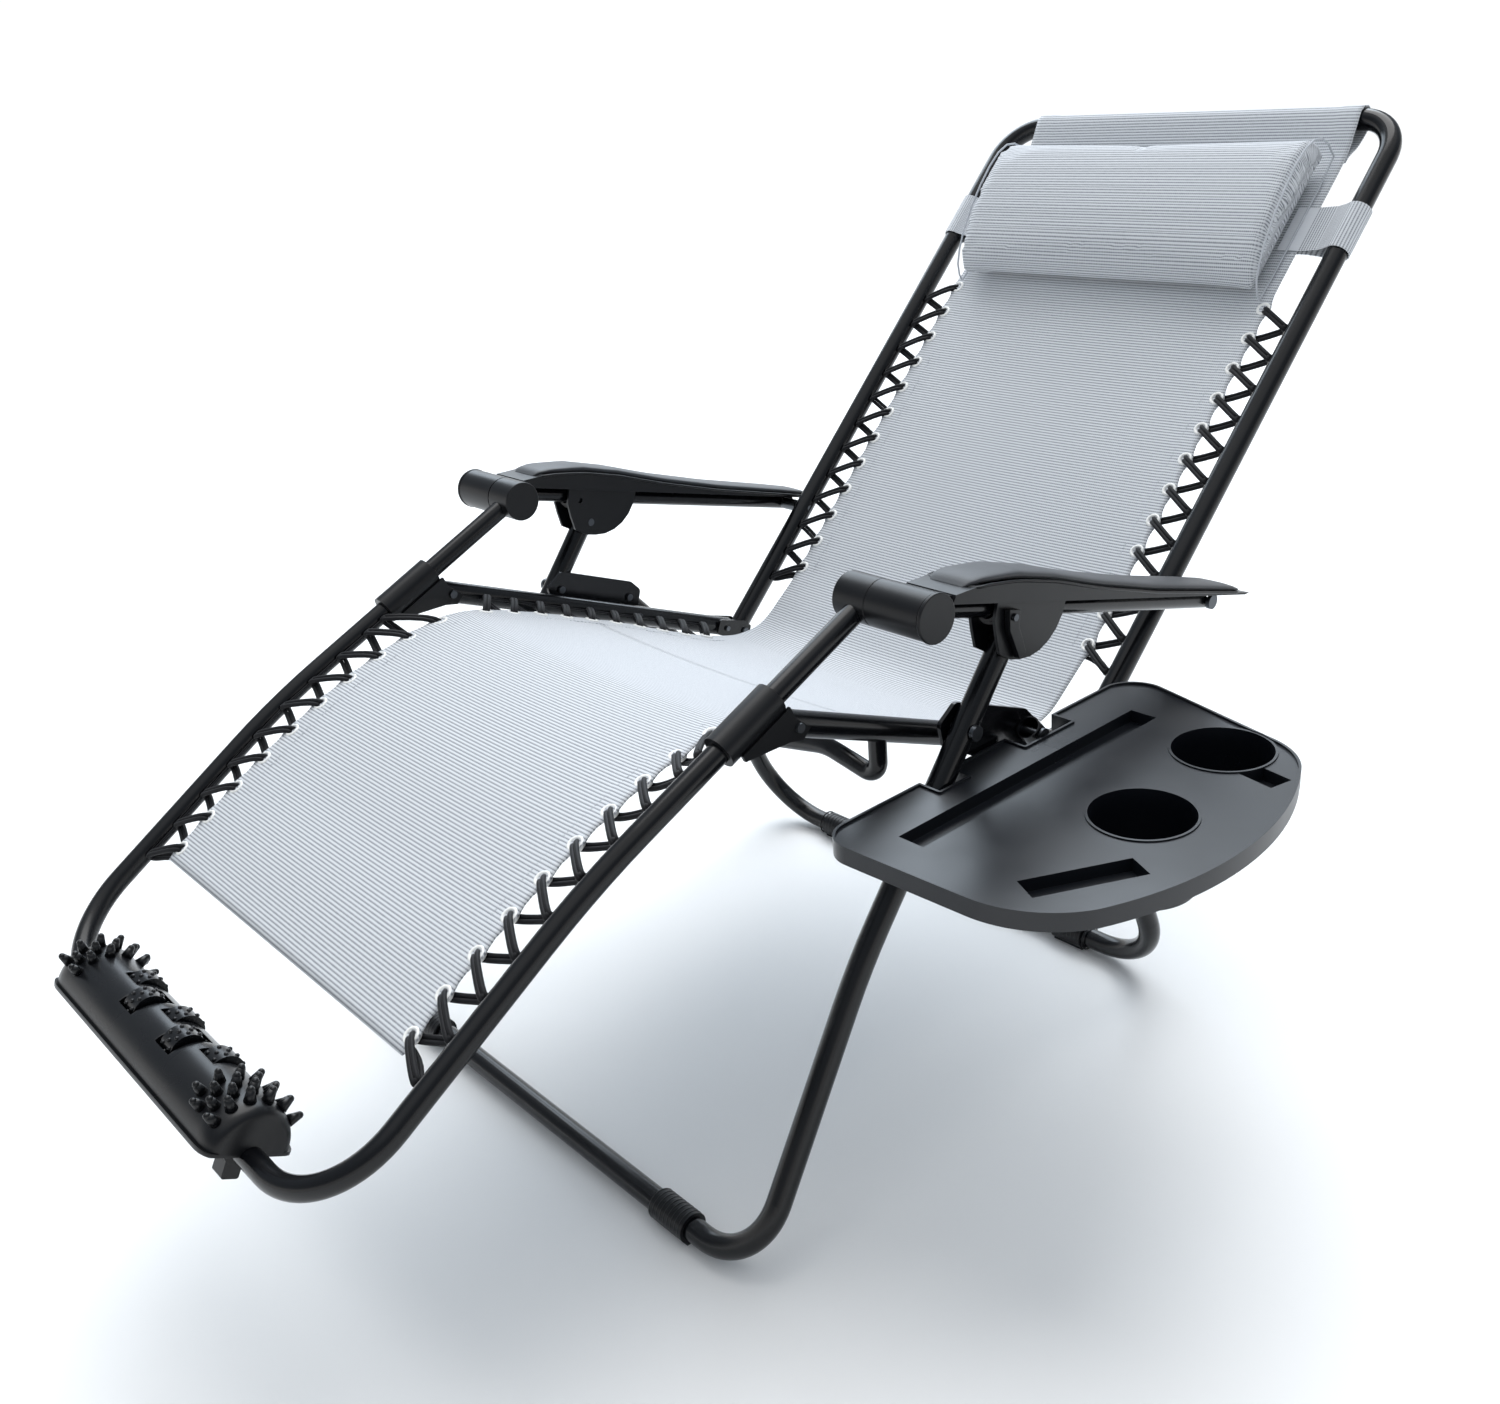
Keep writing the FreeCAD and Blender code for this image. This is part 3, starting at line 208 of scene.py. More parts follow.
# ------------------------------------------------------------------ finishes
def linear(code: str) -> tuple[float, float, float, float]:
    """Turn an sRGB hex colour into linear RGBA.

    Args:
        code: colour such as "#1a1b1d".

    Returns:
        Red, green, blue and alpha for a shader socket.
    """
    values = [int(code[i:i + 2], 16) / 255 for i in (1, 3, 5)]
    curve = [v / 12.92 if v <= 0.04045 else ((v + 0.055) / 1.055) ** 2.4 for v in values]
    return curve[0], curve[1], curve[2], 1.0


def add_node(tree: bpy.types.NodeTree, kind: str, settings: dict | None = None,
             inputs: dict | None = None) -> bpy.types.Node:
    """Add one node with its settings and its input values or links.

    Args:
        tree: node tree to add to.
        kind: Blender's node type name.
        settings: node properties by name.
        inputs: socket values, or sockets to link from, by input name or index.

    Returns:
        The new node.
    """
    node = tree.nodes.new(kind)
    for key, value in (settings or {}).items():
        setattr(node, key, value)
    for key, value in (inputs or {}).items():
        if isinstance(value, Socket):
            tree.links.new(value, node.inputs[key])
        else:
            node.inputs[key].default_value = value
    return node


@dataclass(frozen=True)
class Finish:
    """A surface finish: base values of a Principled shader with a grain that moves its light."""

    name: str
    colour: str
    roughness: float
    grain_mm: float = 1.0
    relief_mm: float = 0.05
    metallic: float = 0.0
    coat: float = 0.0
    sheen: float = 0.0
    mottle: float = 0.12
    specular: float = 0.5

    def start(self) -> tuple[bpy.types.Material, bpy.types.NodeTree, bpy.types.Node]:
        """Make the material with a Principled shader and constant values.

        Returns:
            The material, its tree and the shader node.
        """
        material = bpy.data.materials.new(self.name)
        material.use_nodes = True
        tree = material.node_tree
        shader = tree.nodes["Principled BSDF"]
        shader.inputs["Base Color"].default_value = linear(self.colour)
        shader.inputs["Roughness"].default_value = self.roughness
        shader.inputs["Metallic"].default_value = self.metallic
        shader.inputs["Specular IOR Level"].default_value = self.specular
        shader.inputs["Coat Weight"].default_value = self.coat
        shader.inputs["Coat Roughness"].default_value = 0.25
        shader.inputs["Sheen Weight"].default_value = self.sheen
        material.diffuse_color = linear(self.colour)
        return material, tree, shader

    def material(self) -> bpy.types.Material:
        """Return the finish's material, built once: fine grain and a slow drift in gloss."""
        known = bpy.data.materials.get(self.name)
        if known:
            return known
        material, tree, shader = self.start()
        place = add_node(tree, "ShaderNodeTexCoord").outputs["Object"]
        grain = add_node(tree, "ShaderNodeTexNoise", None,
                         {"Vector": place, "Scale": 1000 / self.grain_mm, "Detail": 2.0})
        drift = add_node(tree, "ShaderNodeTexNoise", None,
                         {"Vector": place, "Scale": 9.0, "Detail": 3.0})
        gloss = add_node(tree, "ShaderNodeMapRange", None,
                         {"Value": drift.outputs["Fac"], "From Min": 0.3, "From Max": 0.7,
                          "To Min": self.roughness - 0.05, "To Max": self.roughness + 0.08})
        tree.links.new(gloss.outputs["Result"], shader.inputs["Roughness"])
        tone = add_node(tree, "ShaderNodeMapRange", None,
                        {"Value": drift.outputs["Fac"], "From Min": 0.3, "From Max": 0.7,
                         "To Min": 1 - self.mottle, "To Max": 1 + self.mottle})
        base = add_node(tree, "ShaderNodeVectorMath", {"operation": "SCALE"},
                        {0: linear(self.colour)[:3], "Scale": tone.outputs["Result"]})
        tree.links.new(base.outputs[0], shader.inputs["Base Color"])
        bump = add_node(tree, "ShaderNodeBump", None,
                        {"Height": grain.outputs["Fac"], "Distance": self.relief_mm / 1000,
                         "Strength": 0.6})
        tree.links.new(bump.outputs["Normal"], shader.inputs["Normal"])
        return material


@dataclass(frozen=True)
class CoatedMesh(Finish):
    """Textilene: PVC-coated polyester yarns woven in light grey ribs across the chair, with painted shade in the
    grooves between the ribs.
    """

    row_mm: float = 3.3
    column_mm: float = 2.3
    # Colour of the painted shade that darkens the weave's grooves.
    shadow: str = "#7f8389"

    def material(self) -> bpy.types.Material:
        """Return the woven mesh material, which follows the "cloth" UV map in metres."""
        known = bpy.data.materials.get(self.name)
        if known:
            return known
        material, tree, shader = self.start()
        cloth = add_node(tree, "ShaderNodeUVMap", {"uv_map": "cloth"}).outputs["UV"]
        axes = add_node(tree, "ShaderNodeSeparateXYZ", None, {0: cloth})

        def wave(source: Socket, pitch: float) -> Socket:
            """A cosine from 0 to 1 with a pitch in millimetres."""
            turn = add_node(tree, "ShaderNodeMath", {"operation": "MULTIPLY"},
                            {0: source, 1: 2000 * math.pi / pitch})
            ripple = add_node(tree, "ShaderNodeMath", {"operation": "COSINE"},
                              {0: turn.outputs[0]})
            return add_node(tree, "ShaderNodeMath", {"operation": "MULTIPLY_ADD"},
                            {0: ripple.outputs[0], 1: 0.5, 2: 0.5}).outputs[0]

        rows = wave(axes.outputs["Y"], self.row_mm)
        columns = wave(axes.outputs["X"], self.column_mm)
        weave = add_node(tree, "ShaderNodeMath", {"operation": "MULTIPLY_ADD"},
                         {0: columns, 1: 0.35, 2: rows})
        uneven = add_node(tree, "ShaderNodeTexNoise", None,
                          {"Vector": cloth, "Scale": 260.0, "Detail": 1.0})
        total = add_node(tree, "ShaderNodeMath", {"operation": "MULTIPLY_ADD"},
                         {0: uneven.outputs["Fac"], 1: 0.3, 2: weave.outputs[0]})
        mask = add_node(tree, "ShaderNodeMapRange", None,
                        {"Value": total.outputs[0], "From Min": 0.25, "From Max": 0.95})
        # Painted shade: the shadow colour fills the weave's low points, where the bump below sinks; the rows and
        # columns are the weave's own pattern.
        paint = add_node(tree, "ShaderNodeMix", {"data_type": "RGBA"},
                         {"Factor": mask.outputs["Result"], 6: linear(self.shadow),
                          7: linear(self.colour)})
        tree.links.new(paint.outputs[2], shader.inputs["Base Color"])
        bump = add_node(tree, "ShaderNodeBump", None,
                        {"Height": total.outputs[0], "Distance": 0.00035, "Strength": 0.5})
        tree.links.new(bump.outputs["Normal"], shader.inputs["Normal"])
        return material


class Surface(Enum):
    """The chair's finishes, each with what the real material gives the eye."""

    # Powder-coated steel: deep black with a soft bluish sky reflection and faint orange peel.
    STEEL = Finish("powder_coated_steel", "#07080b", 0.2, 1.4, 0.012, coat=0.1, specular=0.3)
    # Moulded nylon: satin black, a touch greyer than the tubes.
    NYLON = Finish("moulded_nylon", "#0b0c0f", 0.34, 0.8, 0.03, specular=0.3)
    # Blackened steel bolts: dark metal with broad highlights.
    BOLT = Finish("blackened_steel", "#55585c", 0.36, 0.6, 0.02, metallic=1.0)
    # Coated polyester mesh in light grey ribs, with painted shade in the grooves between them.
    MESH = CoatedMesh("coated_polyester_mesh", "#d3d6da", 0.8, specular=0.2)
    # White moulded eyelets: smooth and slightly glossy.
    EYELET = Finish("white_acetal_eyelet", "#f1f1ee", 0.32, 3.0, 0.01, mottle=0.02)
    # Braided elastic: matt blue-black cover with a fine woven relief.
    ELASTIC = Finish("braided_elastic", "#0a0b10", 0.6, 1.1, 0.25, sheen=0.05,
                     specular=0.25)
    # Polyurethane foam skin of the arm pads: soft charcoal with a pebbled grain.
    FOAM_SKIN = Finish("foam_skin", "#272a2f", 0.5, 1.6, 0.14, sheen=0.15, specular=0.4)
    # Polypropylene tray: slate black with a fine spark-eroded texture.
    TRAY = Finish("textured_polypropylene", "#0e1117", 0.3, 0.9, 0.02, specular=0.5, mottle=0.05)
    # Massager: satin black styrene.
    MASSAGER = Finish("satin_abs", "#090a0d", 0.28, 1.0, 0.02, specular=0.35)
    # Polyester sewing thread.
    THREAD = Finish("polyester_thread", "#b4b8be", 0.8, 0.5, 0.05)
    # Studio floor.
    FLOOR = Finish("pale_floor", "#f4f4f3", 0.8, 30.0, 0.0, mottle=0.005)


SLOT_FINISH = {
    "black_steel": Surface.STEEL, "black_plastic": Surface.NYLON, "dark_fastener": Surface.BOLT,
    "light_mesh": Surface.MESH, "white_grommet": Surface.EYELET, "elastic_cord": Surface.ELASTIC,
    "soft_pad": Surface.FOAM_SKIN, "tray_plastic": Surface.TRAY,
    "massage_plastic": Surface.MASSAGER,
}


# ------------------------------------------------------------------ places in the side view
BACK_SLOPE = 135.74
BACK_LENGTH = 742.5
FOOT_KNEE: Pair = (371.7, 402.7)
FOOT_BAR: Pair = (620.5, 249.0)


@dataclass(frozen=True)
class Layout:
    """Side-view places on the chair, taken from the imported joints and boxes."""

    middle: float
    zero: float

    @classmethod
    def from_frame(cls) -> "Layout":
        """Read the middle plane from the back frame and the forward zero from the seat pivot."""
        low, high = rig.box("back_frame")
        pivot = next(j for j in frame["joints"] if j["name"] == "seat_recline")["pos_m"]
        return cls((low.x + high.x) / 2, pivot[1] - 0.060)

    def point(self, x: float, forward: float, height: float) -> Vector:
        """Row-frame point in metres of a lateral, forward and upward place in millimetres."""
        return Vector((self.middle + x / 1000, self.zero - forward / 1000, height / 1000))

    def joint(self, name: str) -> Pair:
        """Forward distance and height in millimetres of a named joint."""
        place = next(j for j in frame["joints"] if j["name"] == name)["pos_m"]
        return (self.zero - place[1]) * 1000, place[2] * 1000


def along(start: Pair, angle: float, distance: float, offset: float = 0.0) -> Pair:
    """Side-view point at a distance along a direction.

    Args:
        start: forward distance and height.
        angle: direction in degrees, 0 forwards and 90 up.
        distance: millimetres along it.
        offset: millimetres to its right-hand side.

    Returns:
        Forward distance and height.
    """
    turn = math.radians(angle)
    return (start[0] + distance * math.cos(turn) + offset * math.sin(turn),
            start[1] + distance * math.sin(turn) - offset * math.cos(turn))


def heading(start: Pair, end: Pair) -> float:
    """Angle in degrees of the side-view line from one point to another."""
    return math.degrees(math.atan2(end[1] - start[1], end[0] - start[0]))


def walk(line: list[Pair], distance: float) -> tuple[Pair, float]:
    """Point and heading at a distance along a side-view line."""
    left = distance
    for start, end in zip(line, line[1:]):
        run = math.dist(start, end)
        if left <= run or end == line[-1]:
            angle = heading(start, end)
            return along(start, angle, left), angle
        left -= run
    return line[-1], 0.0


def nearest(line: list[Pair], point: Pair) -> float:
    """Distance along a side-view line of its point closest to a given one."""
    best, passed = (1e9, 0.0), 0.0
    for start, end in zip(line, line[1:]):
        angle = math.radians(heading(start, end))
        run = math.dist(start, end)
        reach = ((point[0] - start[0]) * math.cos(angle) + (point[1] - start[1]) * math.sin(angle))
        reach = min(max(reach, 0.0), run)
        gap = math.dist(along(start, math.degrees(angle), reach), point)
        best = min(best, (gap, passed + reach))
        passed += run
    return best[1]


def smooth_line(points: list[Pair], step: float) -> list[Pair]:
    """Even points about a step apart on a Catmull-Rom curve through the given ones."""
    padded = [points[0]] + points + [points[-1]]
    dense: list[Pair] = []
    for a, b, c, d in zip(padded, padded[1:], padded[2:], padded[3:]):
        count = max(2, int(math.dist(b, c) / 2))
        for number in range(count):
            t = number / count
            dense.append(tuple(
                0.5 * (2 * b[k] + (c[k] - a[k]) * t
                       + (2 * a[k] - 5 * b[k] + 4 * c[k] - d[k]) * t * t
                       + (3 * b[k] - a[k] - 3 * c[k] + d[k]) * t ** 3) for k in (0, 1)))
    dense.append(points[-1])
    total = sum(math.dist(p, q) for p, q in zip(dense, dense[1:]))
    count = max(2, round(total / step))
    return [walk(dense, total * number / count)[0] for number in range(count + 1)]


# ------------------------------------------------------------------ mesh building
def link(name: str, data: bpy.types.ID) -> bpy.types.Object:
    """Put a mesh, curve, light or camera in the scene as an object at the origin."""
    item = bpy.data.objects.new(name, data)
    bpy.context.scene.collection.objects.link(item)
    return item


def mesh_object(name: str, points: list[Vector], faces: list[tuple[int, ...]],
                finish: Surface, uvs: list[Pair] | None = None) -> bpy.types.Object:
    """Make a smooth mesh object at the origin, with outward faces and a finish.

    Args:
        name: the piece's name.
        points: vertices in metres of the row frame.
        faces: vertex indices of each face.
        finish: its surface.
        uvs: "cloth" coordinates in metres, one for each vertex.

    Returns:
        The linked object.
    """
    mesh = bpy.data.meshes.new(name)
    mesh.from_pydata([tuple(p) for p in points], [], faces)
    if uvs:
        layer = mesh.uv_layers.new(name="cloth")
        for loop in mesh.loops:
            layer.data[loop.index].uv = uvs[loop.vertex_index]
    shape = bmesh.new()
    shape.from_mesh(mesh)
    bmesh.ops.recalc_face_normals(shape, faces=shape.faces)
    shape.to_mesh(mesh)
    shape.free()
    mesh.shade_smooth()
    mesh.materials.append(finish.value.material())
    return link(name, mesh)


def loft(name: str, rings: list[list[Vector]], finish: Surface,
         uvs: list[list[Pair]] | None = None, sharp: float = 40.0) -> bpy.types.Object:
    """Skin closed rings of equal length into a capped solid.

    Args:
        name: the piece's name.
        rings: rings of points from one end to the other.
        finish: its surface.
        uvs: "cloth" coordinates ring by ring.
        sharp: edges that turn more than this many degrees stay crisp.

    Returns:
        The linked object.
    """
    count = len(rings[0])
    points = [p for ring in rings for p in ring]
    faces = [tuple(reversed(range(count)))]
    for row in range(len(rings) - 1):
        for k in range(count):
            a, b = row * count + k, row * count + (k + 1) % count
            faces.append((a, b, b + count, a + count))
    faces.append(tuple(range((len(rings) - 1) * count, len(rings) * count)))
    flat = [uv for ring in uvs for uv in ring] if uvs else None
    piece = mesh_object(name, points, faces, finish, flat)
    piece.data.set_sharp_from_angle(angle=math.radians(sharp))
    return piece


def settle(piece: bpy.types.Object, body: str, slot: str, *nodes: str) -> bpy.types.Object:
    """Let a piece ride on its body, in its material slot, in place of the named CAD nodes."""
    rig.ride(piece, body)
    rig.slot(piece, slot)
    if nodes:
        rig.replaces(piece, *nodes)
    return piece


def live_mesh(piece: bpy.types.Object) -> bpy.types.Mesh:
    """Mesh of a piece with its modifiers, or of a curve, made plain."""
    graph = bpy.context.evaluated_depsgraph_get()
    return bpy.data.meshes.new_from_object(piece.evaluated_get(graph))


def apply_modifiers(piece: bpy.types.Object) -> None:
    """Replace a piece's mesh with its modified one and drop the modifiers."""
    mesh = live_mesh(piece)
    piece.modifiers.clear()
    piece.data = mesh


def softened(node: str, body: str, finish: Surface, width: float,
             angle: float = 32.0) -> bpy.types.Object:
    """Stand a copy with rounded edges in for a moulded CAD node.

    Args:
        node: CAD node that the copy replaces.
        body: body that it rides on.
        finish: its surface.
        width: width of the edge rounding in millimetres.
        angle: edges that turn more than this many degrees are rounded.

    Returns:
        The new piece.
    """
    mesh = frame["nodes"][node].data.copy()
    mesh.name = node + "_moulded"
    mesh.materials.clear()
    mesh.materials.append(finish.value.material())
    shape = bmesh.new()
    shape.from_mesh(mesh)
    bmesh.ops.remove_doubles(shape, verts=shape.verts, dist=2e-5)
    bmesh.ops.dissolve_limit(shape, angle_limit=math.radians(1.5), verts=shape.verts,
                             edges=shape.edges)
    shape.to_mesh(mesh)
    shape.free()
    piece = link(node + "_moulded", mesh)
    bevel = piece.modifiers.new("round", "BEVEL")
    bevel.width = width / 1000
    bevel.segments = 2
    bevel.limit_method = "ANGLE"
    bevel.angle_limit = math.radians(angle)
    apply_modifiers(piece)
    piece.data.shade_smooth()
    piece.data.set_sharp_from_angle(angle=math.radians(50))
    even = piece.modifiers.new("even", "WEIGHTED_NORMAL")
    even.keep_sharp = True
    even.weight = 100
    apply_modifiers(piece)
    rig.ride(piece, body)
    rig.replaces(piece, node)
    log.info("%s softened, %d faces", node, len(piece.data.polygons))
    return piece


def cord(name: str, routes: list[list[Vector]], diameter: float, finish: Surface,
         closed: bool = False) -> bpy.types.Object:
    """Sweep a round cord along smooth routes and leave it as a plain mesh.

    Args:
        name: the piece's name.
        routes: control points of each cord in metres.
        diameter: cord thickness in millimetres.
        finish: its surface.
        closed: whether the ends meet.

    Returns:
        The new piece.
    """
    curve = bpy.data.curves.new(name, "CURVE")
    curve.dimensions = "3D"
    curve.bevel_depth = diameter / 2000
    curve.bevel_resolution = 2
    curve.use_fill_caps = not closed
    for points in routes:
        spline = curve.splines.new("NURBS")
        spline.points.add(len(points) - 1)
        for control, point in zip(spline.points, points):
            control.co = (*point, 1.0)
        spline.order_u = 3
        spline.use_endpoint_u = not closed
        spline.use_cyclic_u = closed
        spline.resolution_u = 4
    source = link(name + "_source", curve)
    bpy.context.view_layer.update()
    mesh = live_mesh(source)
    bpy.data.objects.remove(source)
    mesh.name = name
    mesh.materials.clear()
    mesh.materials.append(finish.value.material())
    mesh.shade_smooth()
    return link(name, mesh)


# ------------------------------------------------------------------ repeated shapes
Shape = Callable[[bpy.types.NodeTree, dict[str, Socket]], Socket]


@dataclass
class Repeat:
    """Geometry Nodes tree that stands one small shape on every point of a carrier mesh.

    Each point's "direction" attribute gives the shape's Z axis and "tangent" its X axis.
    """

    name: str
    finish: Surface
    sizes: dict[str, float]
    shape: Shape

    def tree(self) -> bpy.types.NodeTree:
        """Build the tree, with one named input for each size."""
        tree = bpy.data.node_groups.new(self.name, "GeometryNodeTree")
        tree.interface.new_socket("Points", in_out="INPUT", socket_type="NodeSocketGeometry")
        for label in self.sizes:
            tree.interface.new_socket(label, in_out="INPUT", socket_type="NodeSocketFloat")
        tree.interface.new_socket("Pieces", in_out="OUTPUT", socket_type="NodeSocketGeometry")
        entry = add_node(tree, "NodeGroupInput")
        sockets = {label: entry.outputs[label] for label in self.sizes}
        made = self.shape(tree, sockets)

        def read(label: str) -> Socket:
            """Vector attribute of the carrier."""
            node = add_node(tree, "GeometryNodeInputNamedAttribute", {"data_type": "FLOAT_VECTOR"})
            node.inputs["Name"].default_value = label
            return node.outputs["Attribute"]

        stand = add_node(tree, "FunctionNodeAlignRotationToVector", {"axis": "Z"},
                         {"Vector": read("direction")})
        turn = add_node(tree, "FunctionNodeAlignRotationToVector",
                        {"axis": "X", "pivot_axis": "Z"},
                        {"Rotation": stand.outputs[0], "Vector": read("tangent")})
        placed = add_node(tree, "GeometryNodeInstanceOnPoints", None,
                          {"Points": entry.outputs["Points"], "Instance": made,
                           "Rotation": turn.outputs[0]})
        real = add_node(tree, "GeometryNodeRealizeInstances", None, {0: placed.outputs[0]})
        smooth = add_node(tree, "GeometryNodeSetShadeSmooth", None, {0: real.outputs[0]})
        painted = add_node(tree, "GeometryNodeSetMaterial", None, {0: smooth.outputs[0]})
        painted.inputs["Material"].default_value = self.finish.value.material()
        add_node(tree, "NodeGroupOutput", None, {0: painted.outputs[0]})
        return tree

    def grow(self, name: str, points: list[Vector], directions: list[Vector],
             tangents: list[Vector], body: str) -> bpy.types.Object:
        """Grow the shapes on points and leave them as a plain mesh riding on a body.

        Args:
            name: the piece's name.
            points: places in metres of the row frame.
            directions: Z axis of each shape.
            tangents: X axis of each shape.
            body: body that the piece rides on.

        Returns:
            The new piece.
        """
        carrier = bpy.data.meshes.new(name + "_carrier")
        carrier.from_pydata([tuple(p) for p in points], [], [])
        for label, values in (("direction", directions), ("tangent", tangents)):
            layer = carrier.attributes.new(label, "FLOAT_VECTOR", "POINT")
            layer.data.foreach_set("vector", [c for v in values for c in v])
        piece = link(name, carrier)
        tree = bpy.data.node_groups.get(self.name) or self.tree()
        modifier = piece.modifiers.new("grow", "NODES")
        modifier.node_group = tree
        for item in tree.interface.items_tree:
            if item.in_out == "INPUT" and item.name in self.sizes:
                modifier[item.identifier] = self.sizes[item.name] / 1000
        apply_modifiers(piece)
        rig.ride(piece, body)
        log.info("%s: %d of %s", name, len(points), self.name)
        return piece


def ring_shape(tree: bpy.types.NodeTree, sizes: dict[str, Socket]) -> Socket:
    """A round ring from sizes "Ring" and "Wire"."""
    circle = add_node(tree, "GeometryNodeCurvePrimitiveCircle", None, {"Radius": sizes["Ring"]})
    circle.inputs["Resolution"].default_value = 22
    wire = add_node(tree, "GeometryNodeCurvePrimitiveCircle", None, {"Radius": sizes["Wire"]})
    wire.inputs["Resolution"].default_value = 8
    swept = add_node(tree, "GeometryNodeCurveToMesh", None,
                     {"Curve": circle.outputs[0], "Profile Curve": wire.outputs[0]})
    return swept.outputs[0]


def nub_shape(tree: bpy.types.NodeTree, sizes: dict[str, Socket]) -> Socket:
    """A tapered spike with a round tip from sizes "Foot", "Tip" and "Height"."""
    cone = add_node(tree, "GeometryNodeMeshCone", None,
                    {"Radius Bottom": sizes["Foot"], "Radius Top": sizes["Tip"],
                     "Depth": sizes["Height"]})
    cone.inputs["Vertices"].default_value = 12
    ball = add_node(tree, "GeometryNodeMeshUVSphere", None, {"Radius": sizes["Tip"]})
    ball.inputs["Segments"].default_value = 12
    ball.inputs["Rings"].default_value = 8
    lift = add_node(tree, "ShaderNodeCombineXYZ", None, {"Z": sizes["Height"]})
    tip = add_node(tree, "GeometryNodeTransform", None,
                   {"Geometry": ball.outputs[0], "Translation": lift.outputs[0]})
    both = add_node(tree, "GeometryNodeJoinGeometry")
    tree.links.new(cone.outputs[0], both.inputs[0])
    tree.links.new(tip.outputs[0], both.inputs[0])
    return both.outputs[0]


def bead_shape(tree: bpy.types.NodeTree, sizes: dict[str, Socket]) -> Socket:
    """A flattened bead along X from sizes "Long", "Wide" and "High"."""
    ball = add_node(tree, "GeometryNodeMeshIcoSphere", None, {"Radius": 1.0})
    ball.inputs["Subdivisions"].default_value = 2
    size = add_node(tree, "ShaderNodeCombineXYZ", None,
                    {"X": sizes["Long"], "Y": sizes["Wide"], "Z": sizes["High"]})
    return add_node(tree, "GeometryNodeTransform", None,
                    {"Geometry": ball.outputs[0], "Scale": size.outputs[0]}).outputs[0]


EYELETS = Repeat("eyelet_ring", Surface.EYELET, {"Ring": 6.0, "Wire": 1.7}, ring_shape)
STITCHES = Repeat("hem_stitch", Surface.THREAD, {"Long": 1.7, "Wide": 0.5, "High": 0.35}, bead_shape)
KNOTS = Repeat("cord_knot", Surface.ELASTIC, {"Long": 4.4, "Wide": 3.0, "High": 3.6}, bead_shape)
NUBS = Repeat("massage_nub", Surface.MASSAGER, {"Foot": 4.9, "Tip": 2.9, "Height": 9.0}, nub_shape)
BUMPS = Repeat("roller_bump", Surface.MASSAGER, {"Foot": 2.9, "Tip": 1.9, "Height": 2.6}, nub_shape)
RIBS = Repeat("sleeve_rib", Surface.NYLON, {"Ring": 13.9, "Wire": 0.9}, ring_shape)


# ------------------------------------------------------------------ sling, eyelets and lacing
class Part(Enum):
    """The three laced parts of the sling and the bodies that they hang on."""

    LEG = "footrest"
    SEAT = "seat"
    BACK = "backrest"


@dataclass(frozen=True)
class EyeRow:
    """One side's eyelets of a part: the first one's place along it, their pitch and number."""

    first: float
    pitch: float
    count: int


EYE_ROWS = {Part.LEG: EyeRow(6.0, 36.3, 10), Part.SEAT: EyeRow(6.0, 33.6, 10),
            Part.BACK: EyeRow(221.5, 36.8, 12)}


